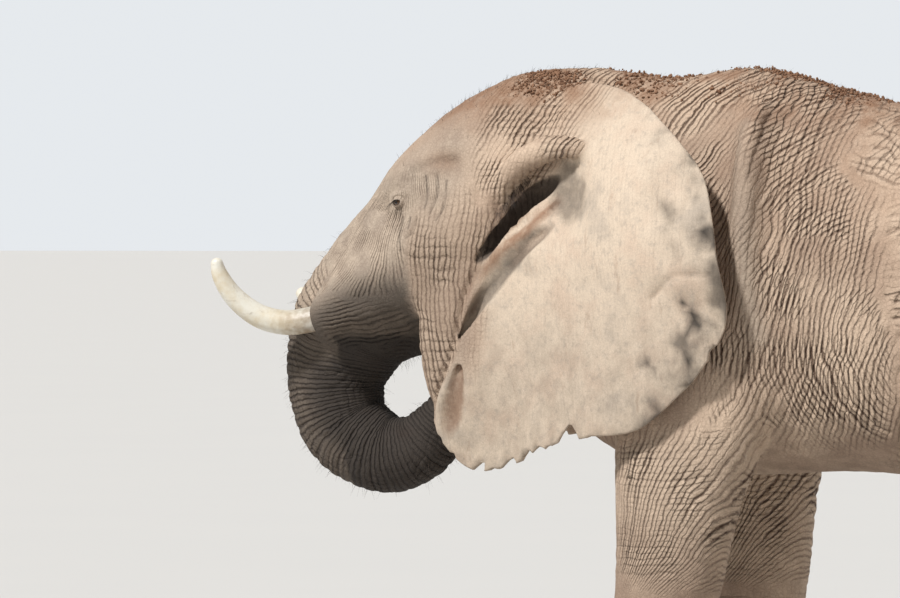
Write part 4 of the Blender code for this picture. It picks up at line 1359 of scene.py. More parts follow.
def skin_material(look):
    """Skin coloured by its marks, with fine lines along the folds and a net of cracks over all of it; shade
    is painted into the grooves and cracks, and highlight with dust onto the ridges.
    """

    def fill(w):
        folds = w.node("Attribute", attribute_name="folds")
        marks = w.node("Attribute", attribute_name="marks")
        phases = w.node("SeparateColor", {0: folds.outputs["Color"]}).outputs
        shares = w.node("SeparateColor", {0: marks.outputs["Color"]}).outputs
        dark_and_shade_share = marks.outputs["Alpha"]
        main = {"Vector": w.place, "Phase": phases[0], "Depth": phases[1]}
        main = used(w, "Skin Fold", fold_group, main)
        cross = {"Vector": w.place, "Phase": phases[2], "Depth": folds.outputs["Alpha"], "Narrow": 4.0}
        cross = used(w, "Skin Fold", fold_group, cross)
        cracks = used(w, "Skin Cracks", crack_group, {"Vector": w.place, "Scale": 55.0, "Width": 0.22})
        broad = w.noise(w.place, 1.6, 3.0, 0.55)
        mottle = w.noise(w.place, 14.0, 4.0, 0.6)
        grain = w.noise(w.place, 160.0, 3.0, 0.6)

        colour = w.mix(w.between(broad, 0.35, 0.65), look["body"], look["body_pale"])
        face = w.mix(w.between(mottle, 0.3, 0.7), look["face"], look["face_pale"])
        colour = w.mix(shares[1], colour, face)
        colour = w.mix(shares[0], colour, ear_colour(w, look))
        soil_and_shade_share = w.times(shares[2], w.between(mottle, 0.25, 0.6, 0.45, 1.0))
        colour = w.mix(soil_and_shade_share, colour, look["soil"])
        colour = w.mix(w.between(grain, 0.3, 0.75, 0.0, 0.16), colour, look["dark"])
        # Painted shade in the grooves of the folds and in the cracks between plates.
        main_groove_shade = w.times(phases[1], GROOVE_SHADE_SHARE)
        cross_groove_shade = w.times(folds.outputs["Alpha"], GROOVE_SHADE_SHARE)
        deep = w.math("MULTIPLY_ADD", main["Groove"], main_groove_shade, w.times(cross["Groove"], cross_groove_shade))
        crack_shade_share = w.between(shares[0], 0.0, 1.0, 0.22, 0.06)
        deep = w.math("MULTIPLY_ADD", cracks["Crack"], crack_shade_share, deep, clamp=True)
        # Painted highlight, with dust, on the ridges between folds.
        ridge = w.times(w.rest(main["Groove"]), w.times(phases[1], RIDGE_DUST_AND_HIGHLIGHT_SHARE), clamp=True)
        colour = w.mix(ridge, colour, look["ridge"])
        colour = w.mix(deep, colour, look["groove"])
        # Dark skin and painted shade, by the marks' dark share, thinned in patches.
        patchy = w.times(w.between(mottle, 0.32, 0.62, 0.65, 0.0), w.rest(dark_and_shade_share))
        dark_and_shade_share = w.times(dark_and_shade_share, w.rest(patchy))
        colour = w.mix(w.times(dark_and_shade_share, DARKEST), colour, look["dark"])

        height = w.times(w.math("ADD", main["Height"], cross["Height"]), FOLD_RELIEF)
        rough = w.between(shares[0], 0.0, 1.0, 0.0011, 0.0004)
        height = w.math("MULTIPLY_ADD", cracks["Height"], rough, height)
        height = w.math("MULTIPLY_ADD", grain, w.times(rough, 0.5), height)
        height = w.math("MULTIPLY_ADD", mottle, w.times(rough, 1.6), height)
        roughness = w.between(mottle, 0.3, 0.7, 0.80, 0.92)
        return {"Base Color": colour, "Roughness": roughness, "Normal": raised(w, height)}

    return material("Elephant Skin", fill, Specular_IOR_Level=0.25)


def ivory_material(look):
    """Ivory with lengthwise grain, yellow patches, and stain towards the root."""

    def fill(w):
        age = w.node("Attribute", attribute_name="age").outputs["Fac"]
        stretch = w.node("Mapping", {0: w.place, 3: (1.0, 0.22, 0.5)}).outputs[0]
        grain = w.noise(stretch, 60.0, 4.0, 0.6)
        patches = w.noise(w.place, 9.0, 4.0, 0.6)
        colour = w.mix(w.between(patches, 0.35, 0.7), look["ivory"], look["ivory_yellow"])
        colour = w.mix(w.between(grain, 0.55, 0.8, 0.0, 0.45), colour, look["stain"])
        stained = w.between(w.math("MULTIPLY_ADD", patches, 0.5, age), 0.75, 1.25)
        colour = w.mix(stained, colour, look["stain"])
        height = w.times(grain, 0.0007)
        roughness = w.between(patches, 0.3, 0.7, 0.34, 0.52)
        return {"Base Color": colour, "Roughness": roughness, "Normal": raised(w, height)}

    return material("Tusk Ivory", fill)


def horn_material(look):
    """Horn with upright streaks, dusted with the body's colour."""

    def fill(w):
        stretch = w.node("Mapping", {0: w.place, 3: (1.0, 1.0, 0.18)}).outputs[0]
        streaks = w.noise(stretch, 90.0, 4.0, 0.65)
        colour = w.mix(w.between(streaks, 0.3, 0.7), look["horn"], look["horn_dark"])
        given = {"Vector": w.place, "Color": colour, "Dust": look["body"], "Amount": 0.8}
        dusted = used(w, "Dust", dust_group, given)
        height = w.times(streaks, 0.0012)
        return {"Base Color": dusted["Color"], "Normal": raised(w, height)}

    return material("Toenail Horn", fill, Roughness=0.6)


def eye_material(look):
    """A wet eye, coloured by the angle from its axis: pupil, rayed iris, then a dark white."""

    def fill(w):
        spot = w.node("Attribute", attribute_name="iris").outputs["Vector"]
        parts = w.node("SeparateXYZ", {0: spot}).outputs
        rays = w.noise(w.node("Mapping", {0: spot, 3: (0.0, 6.0, 0.0)}).outputs[0], 3.0, 3.0, 0.6)
        iris = w.mix(w.between(rays, 0.3, 0.7), look["iris"], look["iris_dark"])
        colour = w.mix(w.between(parts[0], 0.30, 0.36), (0.004, 0.003, 0.003, 1), iris)
        colour = w.mix(w.between(parts[0], 0.70, 0.80), colour, look["eye_white"])
        return {"Base Color": colour}

    return material("Eye", fill, Roughness=0.12, Coat_Weight=1.0, Coat_Roughness=0.03)


def hair_material(look):
    """Dark hair, dusty in patches."""

    def fill(w):
        shade = w.noise(w.place, 40.0, 2.0)
        colour = w.mix(w.between(shade, 0.3, 0.7), look["hair"], look["hair_dusty"])
        return {"Base Color": colour}

    return material("Hair", fill, Roughness=0.55)


def soil_material(look):
    """Crumbly soil, darker where it is damp."""

    def fill(w):
        shade = w.noise(w.place, 30.0, 3.0, 0.6)
        colour = w.mix(w.between(shade, 0.3, 0.7), look["soil"], look["soil_dark"])
        return {"Base Color": colour, "Normal": raised(w, w.times(shade, 0.002))}

    return material("Soil Crumbs", fill, Roughness=0.95, Specular_IOR_Level=0.1)


# Separate pieces ----------------------------------------------------------------------------------
def placed(name, mesh, *materials):
    """Puts a finished mesh in the scene as a piece at the origin."""
    mesh.name = name
    piece = bpy.data.objects.new(name, mesh)
    bpy.context.scene.collection.objects.link(piece)
    for one in materials:
        mesh.materials.append(one)
    mesh.shade_smooth()
    return piece


def ring_quads(rings, sides):
    """Quads of a tube's grid of points, ring by ring."""
    i, j = np.meshgrid(np.arange(rings - 1), np.arange(sides), indexing="ij")
    k = (j + 1) % sides
    corners = [i * sides + j, i * sides + k, (i + 1) * sides + k, (i + 1) * sides + j]
    return np.stack(corners, -1).reshape(-1, 4)


def closed_tube(name, points):
    """A mesh of rings of points, whose first and last rings are drawn together to a point each."""
    rings, sides = points.shape[:2]
    mesh = plain_mesh(name, points.reshape(-1, 3), ring_quads(rings, sides))
    bm = bmesh.new()
    bm.from_mesh(mesh)
    bmesh.ops.remove_doubles(bm, verts=bm.verts, dist=1e-6)
    bmesh.ops.recalc_face_normals(bm, faces=bm.faces)
    bm.to_mesh(mesh)
    bm.free()
    return mesh


def frames(spine):
    """Unit vectors ahead, across and over a path at each of its points."""
    ahead = unit(np.gradient(spine, axis=0))
    across = unit(np.cross(ahead, (0.2, 0.1, 1.0)))
    return ahead, across, np.cross(across, ahead)


def worn(rows, share):
    """A path with this share of its length taken off its tip, which stays as blunt as it was."""
    at = np.linspace(0, 1, len(rows))
    kept = np.stack([np.interp(at * (1 - share), at, column) for column in rows.T], 1)
    kept[:, 3] *= 1 - 0.4 * at**5
    kept[-1, 3] = rows[-1, 3]
    return kept


TUSK_RINGS = 96
TUSK_SIDES = 40


def tusk_mesh(side):
    """A tusk: rings carried along its path, with a rounded tip and shallow lengthwise flutes; the right one
    is worn shorter.
    """
    rows = path(TUSK, 12) * (side, 1, 1, 1)
    if side < 0:
        rows = worn(rows, RIGHT_TUSK_WEAR)
    at = np.linspace(0, 1, TUSK_RINGS)
    rows = np.stack([np.interp(at, np.linspace(0, 1, len(rows)), column) for column in rows.T], 1)
    spine, radius = rows[:, :3], rows[:, 3]
    ahead, across, over = frames(spine)
    length = np.concatenate([[0], np.cumsum(np.linalg.norm(np.diff(spine, axis=0), axis=1))])
    from_tip = length[-1] - length
    tip = 0.9 * radius[-1]
    shape = np.sqrt(np.clip(1 - (1 - np.clip(from_tip / tip, 0, 1)) ** 2, 0, 1))
    radius = radius * shape * ramp(length, -0.001, 0.004)
    turn = np.arange(TUSK_SIDES) * math.tau / TUSK_SIDES
    flutes = 1 + 0.010 * np.sin(9 * turn + 1.3)[None] + 0.006 * np.sin(17 * turn)[None]
    flutes = flutes + 0.02 * np.sin(2 * turn[None] + 5 * at[:, None])
    ring = np.cos(turn)[None, :, None] * across[:, None] + np.sin(turn)[None, :, None] * over[:, None]
    points = spine[:, None] + (radius[:, None] * flutes)[:, :, None] * ring
    mesh = closed_tube("tusk", points + SHIFT)
    found = read(mesh, "co", 3) - SHIFT
    nearest = np.abs(found[:, None, 1:] - spine[None, ::4, 1:]).sum(-1).argmin(1) * 4
    float_attribute(mesh, "age", "FLOAT", 1 - length[nearest] / length[-1])
    return mesh


CORNEA_RISE = 0.0016
CORNEA_SPREAD = 0.42  # radians
EYE_RINGS = 33
EYE_SIDES = 48


def eye_mesh(side):
    """An eyeball on latitude and longitude about its outward axis, with a raised clear cornea."""
    field = make_flesh()
    middle, along, across, out = eye_axes(field, side)
    down = np.linspace(0, math.pi, EYE_RINGS)
    turn = np.arange(EYE_SIDES) * math.tau / EYE_SIDES
    cornea = CORNEA_RISE * np.exp(-((down / CORNEA_SPREAD) ** 2))
    radius = (EYE_RADIUS - CORNEA_RISE + cornea)[:, None, None]
    flat = np.cos(turn)[None, :, None] * along + np.sin(turn)[None, :, None] * across
    points = middle + radius * (np.sin(down)[:, None, None] * flat + np.cos(down)[:, None, None] * out)
    mesh = closed_tube("eye", points + SHIFT)
    q = (read(mesh, "co", 3) - SHIFT - middle) / EYE_RADIUS
    away = np.arccos(np.clip(q @ out / np.linalg.norm(q, axis=1), -1, 1))
    spot = np.stack([away, np.arctan2(q @ across, q @ along), 0 * away], 1)
    float_attribute(mesh, "iris", "FLOAT_VECTOR", spot)
    return mesh


NAIL_HALF_WIDTH = 0.049
NAIL_HALF_THICKNESS = 0.021
NAIL_FILL = 0.94  # of its solid's height
NAIL_POWER = 0.62  # lower is squarer
NAIL_RINGS = 21
NAIL_SIDES = 32


def nail_mesh(node):
    """A toenail in the room of its solid: a plate that is domed outwards, square below and arched above."""
    low, high = np.array(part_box(node))
    middle, size = (low + high) / 2, (high - low) / 2
    foot = np.array(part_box(node.replace("toenail_", "").rsplit("_", 1)[0] + "_foot")).mean(0)
    out = middle - foot
    out[2] = 0
    out = unit(out)
    across = np.array((-out[1], out[0], 0.0))
    u = np.linspace(0, math.pi, NAIL_RINGS)[:, None]
    v = (np.arange(NAIL_SIDES) * math.tau / NAIL_SIDES)[None]
    side_way, up_way = (
        np.sign(way) * np.abs(way) ** NAIL_POWER * np.sin(u) ** NAIL_POWER for way in (np.cos(v), np.sin(v))
    )
    out_way = np.sign(np.cos(u)) * np.abs(np.cos(u)) ** 0.9 + 0 * v
    bend = 0.010 * side_way**2
    points = (
        middle
        + (NAIL_HALF_WIDTH * side_way * (1 - 0.10 * up_way))[..., None] * across
        + (size[2] * NAIL_FILL * up_way)[..., None] * np.array((0, 0, 1.0))
        + (NAIL_HALF_THICKNESS * out_way - bend + 0.004 - 0.007 * up_way)[..., None] * out
    )
    points[..., 2] = np.maximum(points[..., 2], 0.002)
    return closed_tube(node, points)


HAIR_TAPER = 0.85  # share of its thickness that a hair loses by its tip


def strands(name, roots, tips_way, lengths, thick, droop, seed, rings=5, sides=3, stray=0.12):
    """Tapered hairs: each a small tube from its root along its way, bending by its droop to the ground."""
    chance = np.random.default_rng(seed)
    t = np.linspace(0, 1, rings)
    sway = chance.normal(0, stray, (len(roots), 3))
    spine = (
        roots[:, None]
        + lengths[:, None, None] * t[None, :, None] * tips_way[:, None]
        + lengths[:, None, None] * (t**2)[None, :, None] * (sway[:, None] + droop * np.array((0, 0, -1.0)))
    )
    way = unit(np.gradient(spine, axis=1))
    across = np.cross(way, (0.31, 0.17, 0.93))
    across /= np.maximum(np.linalg.norm(across, axis=2), 1e-6)[..., None]
    over = np.cross(across, way)
    turn = np.arange(sides) * math.tau / sides
    c, s = (of(turn)[None, None, :, None] for of in (np.cos, np.sin))
    ring = c * across[:, :, None] + s * over[:, :, None]
    radius = np.broadcast_to(np.asarray(thick, float), (len(roots),))[:, None] * (1 - HAIR_TAPER * t)[None]
    points = spine[:, :, None] + radius[:, :, None, None] * ring
    start = np.arange(len(roots)) * rings * sides
    quads = (ring_quads(rings, sides)[None] + start[:, None, None]).reshape(-1, 4)
    mesh = bpy.data.meshes.new(name)
    caps = []
    for s0 in start.tolist():
        caps.append([s0 + j for j in range(sides)][::-1])
        caps.append([s0 + (rings - 1) * sides + j for j in range(sides)])
    mesh.from_pydata(points.reshape(-1, 3), [], quads[:, ::-1].tolist() + [cap[::-1] for cap in caps])
    mesh.update()
    bake_spots(mesh, np.repeat(roots, rings * sides, axis=0))
    return mesh


def bake_spots(mesh, roots):
    """Each hair's patch of the bake's map: its root's place on an unwrap of the body by length and turn."""
    length, height = roots[:, 1] / 6 + 0.5, roots[:, 2] / 3.6
    turn = np.arctan2(roots[:, 0], roots[:, 2] - 2) / math.tau + 0.5
    spot = np.stack([0.02 + 0.94 * (0.5 * length + 0.5 * turn), 0.02 + 0.94 * height], 1)
    points = read(mesh, "co", 3)
    wobble = (points - roots) * 0.003 / 0.3
    uv = np.clip(spot + wobble[:, :2] * 0.5, 0, 1)
    index = np.empty(len(mesh.loops), np.int32)
    mesh.loops.foreach_get("vertex_index", index)
    layer = mesh.uv_layers.new(name="OFBake")
    layer.uv.foreach_set("vector", uv[index].astype(np.float32).ravel())


def chosen_roots(share, count, seed):
    """Points of the skin and their outward ways, drawn by a share that each point has."""
    mesh = bpy.data.objects["skin"].data
    points, up = read(mesh, "co", 3) - SHIFT, read(mesh, "normal", 3)
    weight = share(points, up)
    chance = np.random.default_rng(seed)
    chosen = chance.choice(len(points), count, p=weight / weight.sum())
    return points[chosen] + chance.normal(0, 0.004, (count, 3)), up[chosen], chance


def hair_on(name, share, count, length, thick, lean, droop, seed):
    """Hairs on the skin: count of them where share says, leaning this way from upright."""
    roots, up, chance = chosen_roots(share, count, seed)
    way = unit(up + np.array(lean) + chance.normal(0, 0.25, (count, 3)))
    lengths = length * chance.uniform(0.5, 1.3, count)
    return strands(name, roots - 0.004 * up + SHIFT, way, lengths, thick, droop, seed)


def crown_share(p, up):
    """Where bristles grow: on top, near the middle line, thinner towards the tail."""
    on_top = ramp(p[:, 2] + 0.3 * up[:, 2], 2.9, 3.2) * ramp(np.abs(p[:, 0]), 0.5, 0.1)
    return on_top * ramp(p[:, 1], 2.4, -0.6) + 1e-9


def chin_share(p, up):
    """Where whiskers grow: under the jaw, and thinly on the trunk."""
    jaw = ramp(tube(JAW)(p), 0.06, 0.0) * ramp(p[:, 2], 2.14, 2.02)
    snout = ramp(tube(TRUNK)(p), 0.05, 0.0)
    return jaw + 0.22 * snout + 1e-9


def ear_mouth_share(p, up):
    """Where the ear's opening meets its hood."""
    rim = either_side(EAR_RIM)(p)
    return ramp(np.abs(rim), 0.03, 0.0) * ramp(either_side(EAR_HOLLOWS[0])(p), 0.05, 0.01) + 1e-9


def tail_hair(count=640):
    """Long wires from both edges of the tail's end, hanging to the foot of the tuft's room."""
    chance = np.random.default_rng(5)
    rows = path(TAIL, 8)
    along = chance.uniform(0.70, 1.0, count)
    at = along * (len(rows) - 1)
    y, z, r = (np.interp(at, np.arange(len(rows)), column) for column in rows.T)
    edge = np.where(chance.random(count) < 0.5, 0.0, math.pi) + chance.normal(0, 0.8, count)
    roots = np.stack([0.6 * r * np.sin(edge), y + 0.8 * r * np.cos(edge), z], 1)
    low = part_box("tail_tuft")[0][2]
    lengths = (z - low) * chance.uniform(0.45, 0.98, count)
    way = np.stack([0.05 * np.sin(edge), 0.07 * np.cos(edge) - 0.02, np.full(count, -1.0)], 1)
    way = unit(way + chance.normal(0, 0.03, (count, 3)))
    return strands("tail_hair", roots + SHIFT, way, lengths, 0.0011, 0.0, 6, rings=7, stray=0.035)


def lash_mesh(side, count=46):
    """Lashes along the upper lid, pointing out and down."""
    field = make_flesh()
    middle, along, across, out = eye_axes(field, side)
    chance = np.random.default_rng(40 + side)
    u = chance.uniform(-0.9, 0.9, count) * OPEN_LENGTH
    v = OPEN_HEIGHT * (1 - (u / OPEN_LENGTH) ** 2) ** 0.75
    w = np.sqrt(np.maximum((EYE_RADIUS + LID) ** 2 - u**2 - v**2, 0))
    roots = middle + u[:, None] * along + v[:, None] * across + (w - 0.002)[:, None] * out
    way = out + 0.12 * across + (u / OPEN_LENGTH)[:, None] * 0.4 * along
    way = unit(way + chance.normal(0, 0.10, (count, 3)))
    lengths = chance.uniform(0.025, 0.048, count)
    return strands("lashes", roots + SHIFT, way, lengths, 0.0007, 0.9, 41 + side)


def crumb_mesh(count, size):
    """Crumbs of dry soil on the crown and back: each a twenty-sided lump of its own shape."""

    def share(p, up):
        clump = ramp(noise(p, 0.16, 55), -0.3, 0.5)
        on_top = ramp(up[:, 2], 0.6, 0.9) * ramp(p[:, 2], 3.00, 3.12)
        return clump * on_top * within(p[:, 1], -0.75, 0.70, 0.25) * ramp(np.abs(p[:, 0]), 0.36, 0.15) + 1e-12

    roots, up, chance = chosen_roots(share, count, 51)
    bm = bmesh.new()
    bmesh.ops.create_icosphere(bm, subdivisions=1, radius=1)
    lump = np.array([v.co[:] for v in bm.verts])
    faces = np.array([[v.index for v in f.verts] for f in bm.faces])
    bm.free()
    radius = size * (0.28 + 0.72 * chance.uniform(0, 1, count) ** 5)
    shape = lump[None] * chance.uniform(0.6, 1.25, (count, len(lump), 1))
    shape = shape * chance.uniform(0.6, 1.2, (count, 1, 3))
    points = (roots + 0.1 * radius[:, None] * up)[:, None] + radius[:, None, None] * shape + SHIFT
    index = (faces[None] + (np.arange(count) * len(lump))[:, None, None]).reshape(-1, 3)
    mesh = plain_mesh("soil_crumbs", points.reshape(-1, 3), index)
    bake_spots(mesh, np.repeat(roots + SHIFT, len(lump), axis=0))
    return mesh


# The add-on ---------------------------------------------------------------------------------------
FLESH = [
    "head", "lower_jaw", "neck", "chest", "belly", "rump", "trunk_upper", "trunk_middle", "trunk_lower",
    "ear_left", "ear_right", "tail",
]
LEGS = [f"{end}_{side}" for end in ("foreleg", "hindleg") for side in ("left", "right")]
FLESH += [f"{leg}_{part}" for leg in LEGS for part in ("upper", "lower", "foot")]


def colour(name, default, description):
    return FloatVectorProperty(
        name=name, description=description, default=default, subtype="COLOR", size=3, min=0, max=1
    )


class ElephantColours(bpy.types.PropertyGroup):
    """The colours of the animal's skin, ivory, horn, eyes, hair and soil."""

    body: colour("Body", (0.430, 0.305, 0.222), "Dusty skin of the body and legs")
    body_pale: colour("Body, dusty", (0.690, 0.522, 0.385), "Skin of the body where dust lies thick")
    face: colour("Face", (0.370, 0.290, 0.225), "Greyer skin of the face and trunk")
    face_pale: colour("Face, pale", (0.520, 0.420, 0.325), "Face skin where it is dry")
    ear: colour("Ear", (0.690, 0.560, 0.430), "Pale smooth skin of the ears")
    ear_pink: colour("Ear, pink", (0.620, 0.470, 0.355), "Ear skin where blood shows through")
    ear_grey: colour("Ear, grey", (0.440, 0.370, 0.300), "Ear skin where its own grey shows")
    # Soil: also painted as shade in the temporal hollow.
    soil: colour("Soil", (0.315, 0.178, 0.108), "Red soil on the crown and back")
    soil_dark: colour("Soil, damp", (0.170, 0.090, 0.055), "Darker crumbs of the same soil")
    # Ridges: dust and painted highlight on the ridges between folds.
    ridge: colour("Ridges", (0.745, 0.578, 0.428), "Dry dust on the ridges between folds")
    # Grooves: painted shade at the bottoms of folds and cracks.
    groove: colour("Grooves", (0.090, 0.050, 0.032), "The bottoms of folds and cracks")
    # Dark skin: also the painted shade under the chin, on downward faces, on the trunk, in the ear's hollows
    # and bowl and along the face's creases.
    dark: colour("Dark skin", (0.024, 0.020, 0.018), "Bare damp skin of the trunk, chin and ear openings")
    ivory: colour("Ivory", (0.760, 0.725, 0.630), "The tusks")
    ivory_yellow: colour("Ivory, yellow", (0.640, 0.545, 0.385), "Older ivory")
    stain: colour("Stain", (0.150, 0.075, 0.030), "Plant stain at the tusks' roots")
    horn: colour("Horn", (0.420, 0.340, 0.250), "The toenails")
    horn_dark: colour("Horn, dark", (0.200, 0.150, 0.110), "Streaks in the toenails")
    iris: colour("Iris", (0.200, 0.085, 0.020), "The amber of the eyes")
    iris_dark: colour("Iris, dark", (0.060, 0.025, 0.010), "Rays in the eyes' amber")
    eye_white: colour("Eye white", (0.110, 0.075, 0.055), "The dark white of the eyes")
    hair: colour("Hair", (0.020, 0.014, 0.011), "Hair and lashes")
    hair_dusty: colour("Hair, dusty", (0.085, 0.055, 0.038), "Hair with dust in it")


class ElephantCover(bpy.types.PropertyGroup):
    """How much hair and soil the animal carries."""

    bristles: IntProperty(
        name="Bristles", description="Short hairs on the crown, neck and back", default=1500, min=1
    )
    bristle_length: FloatProperty(
        name="Bristle length", description="Usual length of a short hair", default=0.028, unit="LENGTH"
    )
    whiskers: IntProperty(name="Whiskers", description="Hairs of the chin and trunk", default=700, min=1)
    crumbs: IntProperty(
        name="Soil crumbs", description="Crumbs of soil on the crown and back", default=6800, min=1
    )
    crumb_size: FloatProperty(
        name="Crumb size", description="Half the width of the largest crumb", default=0.010, unit="LENGTH"
    )


class ElephantStudio(bpy.types.PropertyGroup):
    """The floor, the light and the distance of the camera."""

    floor: colour("Floor", (0.62, 0.60, 0.57), "The plain pale floor")
    key: FloatProperty(name="Key light", description="Strength of the large soft light", default=3.6, min=0)
    fill: FloatProperty(name="Fill", description="Light from all round", default=0.36, min=0)
    camera_distance: FloatProperty(
        name="Camera distance", description="From the camera to the head", default=28.0, unit="LENGTH"
    )


def look():
    """The colours as shader values."""
    settings = bpy.context.scene.elephant_colours
    return {name: (*getattr(settings, name), 1.0) for name in ElephantColours.__annotations__}


def shared_hair():
    """The hair's material, which the lashes use as well."""
    return bpy.data.materials.get("Hair") or hair_material(look())


class ELEPHANT_OT_skin(bpy.types.Operator):
    """One skin over all the flesh, with its folds and lids"""

    bl_idname = "elephant.skin"
    bl_label = "Skin"

    def execute(self, context):
        skin = placed("skin", make_skin(), skin_material(look()))
        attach(skin, "root")
        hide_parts(*FLESH)
        return {"FINISHED"}


class ELEPHANT_OT_eyes(bpy.types.Operator):
    """Both eyeballs and their lashes"""

    bl_idname = "elephant.eyes"
    bl_label = "Eyes"

    def execute(self, context):
        wet, hair = eye_material(look()), shared_hair()
        for label, side in SIDES.items():
            eye = placed(f"eyeball_{label}", eye_mesh(side), wet)
            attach(eye, "root")
            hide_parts(f"eye_{label}")
            lashes = placed(f"lashes_{label}", lash_mesh(side), hair)
            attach(lashes, "root")
        return {"FINISHED"}


class ELEPHANT_OT_tusks(bpy.types.Operator):
    """Both tusks"""

    bl_idname = "elephant.tusks"
    bl_label = "Tusks"

    def execute(self, context):
        ivory = ivory_material(look())
        for label, side in SIDES.items():
            tusk = placed(f"ivory_{label}", tusk_mesh(side), ivory)
            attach(tusk, "root")
            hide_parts(f"tusk_{label}")
        return {"FINISHED"}


class ELEPHANT_OT_nails(bpy.types.Operator):
    """All the toenails"""

    bl_idname = "elephant.nails"
    bl_label = "Toenails"

    def execute(self, context):
        horn = horn_material(look())
        for node in sorted(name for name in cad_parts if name.startswith("toenail_")):
            nail = placed(node.replace("toenail", "nail"), nail_mesh(node), horn)
            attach(nail, "root")
            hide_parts(node)
        return {"FINISHED"}


class ELEPHANT_OT_hair(bpy.types.Operator):
    """The tail's tuft, the hair of the ear openings, and the bristles of crown, back, chin and trunk"""

    bl_idname = "elephant.hair"
    bl_label = "Hair"

    def execute(self, context):
        cover = context.scene.elephant_cover
        hair = shared_hair()
        tuft = placed("tail_hair", tail_hair(), hair)
        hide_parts("tail_tuft")
        pieces = [tuft]
        bristle = cover.bristle_length
        for name, *growth in (
            ("back_bristles", crown_share, cover.bristles, bristle, 0.0007, (0, 0.6, 0), 0.1, 61),
            ("chin_whiskers", chin_share, cover.whiskers, 0.040, 0.0006, (0, -0.2, -0.2), 0.3, 62),
            ("ear_hair", ear_mouth_share, 420, 0.055, 0.0008, (0, 0.2, -0.5), 0.5, 63),
        ):
            pieces.append(placed(name, hair_on(name, *growth), hair))
        for piece in pieces:
            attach(piece, "root")
        return {"FINISHED"}


class ELEPHANT_OT_soil(bpy.types.Operator):
    """Crumbs of dry soil lying on the crown and back"""

    bl_idname = "elephant.soil"
    bl_label = "Soil"

    def execute(self, context):
        cover = context.scene.elephant_cover
        crumbs = placed("soil_crumbs", crumb_mesh(cover.crumbs, cover.crumb_size), soil_material(look()))
        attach(crumbs, "root")
        return {"FINISHED"}


CAMERA_TURN = math.radians(112)  # round from the front to the left side and a little behind it
CAMERA_HEIGHT = 2.484
VIEW_WIDTH = 3.888  # of what the camera sees at the head
VIEW_SIDE = -1.149  # of the middle of the view, along the camera's right
VIEW_HEIGHT = 2.2075
FLOOR_HALF = 900.0
BACKDROP = 0.85  # brightness of the sky where the camera sees it
RIM_SHARE = 0.18  # of the key light's strength
SKY = (0.93, 0.965, 1.0, 1.0)


def add_floor(studio):
    """A plain pale floor that reaches far past the animal."""
    corners = [(x * FLOOR_HALF, y * FLOOR_HALF, 0) for x, y in ((-1, -1), (1, -1), (1, 1), (-1, 1))]
    mesh = bpy.data.meshes.new("floor")
    mesh.from_pydata(corners, [], [(0, 1, 2, 3)])

    def fill(w):
        shade = w.noise(w.place, 0.4, 2.0)
        pale = (*studio.floor, 1.0)
        return {"Base Color": w.mix(w.between(shade, 0.3, 0.7, 0.0, 0.04), pale, (0.5, 0.5, 0.5, 1.0))}

    floor = placed("floor", mesh, material("Floor", fill, Roughness=0.9))


def add_camera(scene, distance, right, back):
    """A camera level with the eye, whose view is as wide at the head whatever its distance."""
    target = Vector(SHIFT) + VIEW_SIDE * right + VIEW_HEIGHT * Vector((0, 0, 1))
    data = bpy.data.cameras.new("camera")
    camera = bpy.data.objects.new("camera", data)
    scene.collection.objects.link(camera)
    place = target + distance * back
    place.z = CAMERA_HEIGHT
    camera.location = place
    camera.rotation_euler = (place - target).to_track_quat("Z", "Y").to_euler()
    data.lens = data.sensor_width * distance / VIEW_WIDTH
    data.clip_end = 2000
    scene.camera = camera


def add_lights(scene, strength, right, back):
    """A large soft light above the camera's left shoulder and a faint one from behind."""
    to_key = (-0.49 * right + 0.50 * back + Vector((0, 0, 0.72))).normalized()
    to_rim = (0.8 * right - 0.5 * back + Vector((0, 0, 0.6))).normalized()
    for name, way, spread, share in (("key", to_key, 7.0, 1.0), ("rim", to_rim, 60.0, RIM_SHARE)):
        light = bpy.data.lights.new(name, "SUN")
        light.angle, light.energy = math.radians(spread), share * strength
        lamp = bpy.data.objects.new(name, light)
        scene.collection.objects.link(lamp)
        lamp.rotation_euler = way.to_track_quat("Z", "Y").to_euler()


def add_sky(scene, strength):
    """A pale sky that lights with this strength and looks bright to the camera."""
    world = bpy.data.worlds.new("studio")
    scene.world = world
    world.use_nodes = True
    w = Wiring(world.node_tree)
    seen = w.node("LightPath").outputs["Is Camera Ray"]
    background = world.node_tree.nodes["Background"]
    background.inputs["Color"].default_value = SKY
    bright = w.math("MULTIPLY_ADD", seen, BACKDROP - strength, strength)
    world.node_tree.links.new(bright, background.inputs["Strength"])


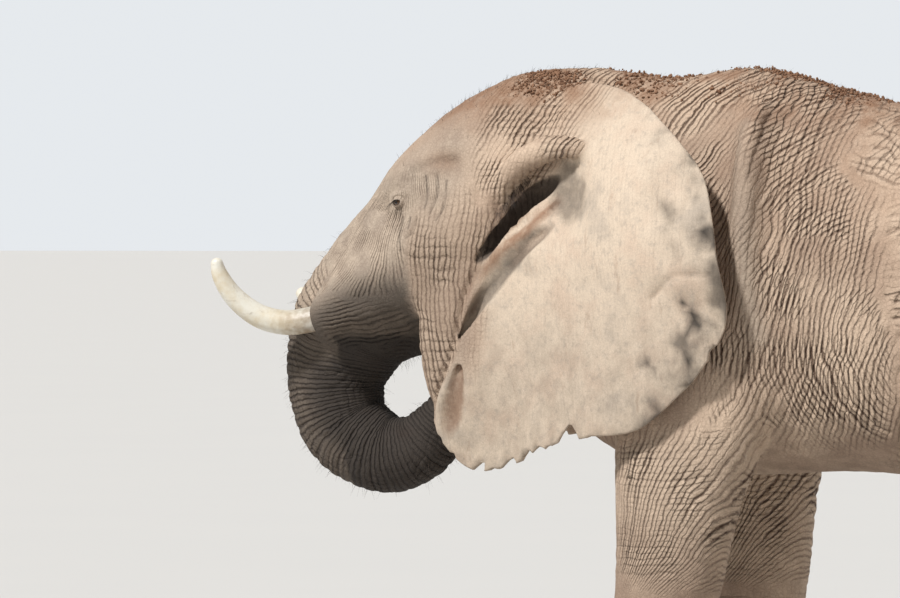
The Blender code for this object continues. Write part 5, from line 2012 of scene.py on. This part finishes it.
class ELEPHANT_OT_studio(bpy.types.Operator):
    """The pale floor, the soft light and the camera"""

    bl_idname = "elephant.studio"
    bl_label = "Studio"

    def execute(self, context):
        scene, studio = context.scene, context.scene.elephant_studio
        right = Vector((math.cos(CAMERA_TURN), math.sin(CAMERA_TURN), 0))
        back = Vector((math.sin(CAMERA_TURN), -math.cos(CAMERA_TURN), 0))
        add_floor(studio)
        add_camera(scene, studio.camera_distance, right, back)
        add_lights(scene, studio.key, right, back)
        add_sky(scene, studio.fill)
        scene.view_settings.view_transform = "Standard"
        return {"FINISHED"}


OPERATORS = (
    ELEPHANT_OT_studio,
    ELEPHANT_OT_skin,
    ELEPHANT_OT_eyes,
    ELEPHANT_OT_tusks,
    ELEPHANT_OT_nails,
    ELEPHANT_OT_hair,
    ELEPHANT_OT_soil,
)


class ELEPHANT_PT_panel(bpy.types.Panel):
    """Lists the pieces of the elephant and their settings"""

    bl_idname = "ELEPHANT_PT_panel"
    bl_label = "Elephant Bull"
    bl_space_type = "VIEW_3D"
    bl_region_type = "UI"
    bl_category = "Elephant"

    def draw(self, context):
        for operator in OPERATORS:
            self.layout.operator(operator.bl_idname)
        for settings in (
            context.scene.elephant_colours,
            context.scene.elephant_cover,
            context.scene.elephant_studio,
        ):
            for name in settings.__annotations__:
                self.layout.prop(settings, name)


SETTINGS = {
    "elephant_colours": ElephantColours,
    "elephant_cover": ElephantCover,
    "elephant_studio": ElephantStudio,
}


def register():
    for one in (*SETTINGS.values(), *OPERATORS, ELEPHANT_PT_panel):
        bpy.utils.register_class(one)
    for name, kind in SETTINGS.items():
        setattr(bpy.types.Scene, name, bpy.props.PointerProperty(type=kind))


def unregister():
    for name in SETTINGS:
        delattr(bpy.types.Scene, name)
    for one in reversed((*SETTINGS.values(), *OPERATORS, ELEPHANT_PT_panel)):
        bpy.utils.unregister_class(one)


def main():
    """Builds everything in order."""
    register()
    for operator in OPERATORS:
        group_name, name = operator.bl_idname.split(".")
        getattr(getattr(bpy.ops, group_name), name)()
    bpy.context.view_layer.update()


if __name__ == "__main__":
    main()
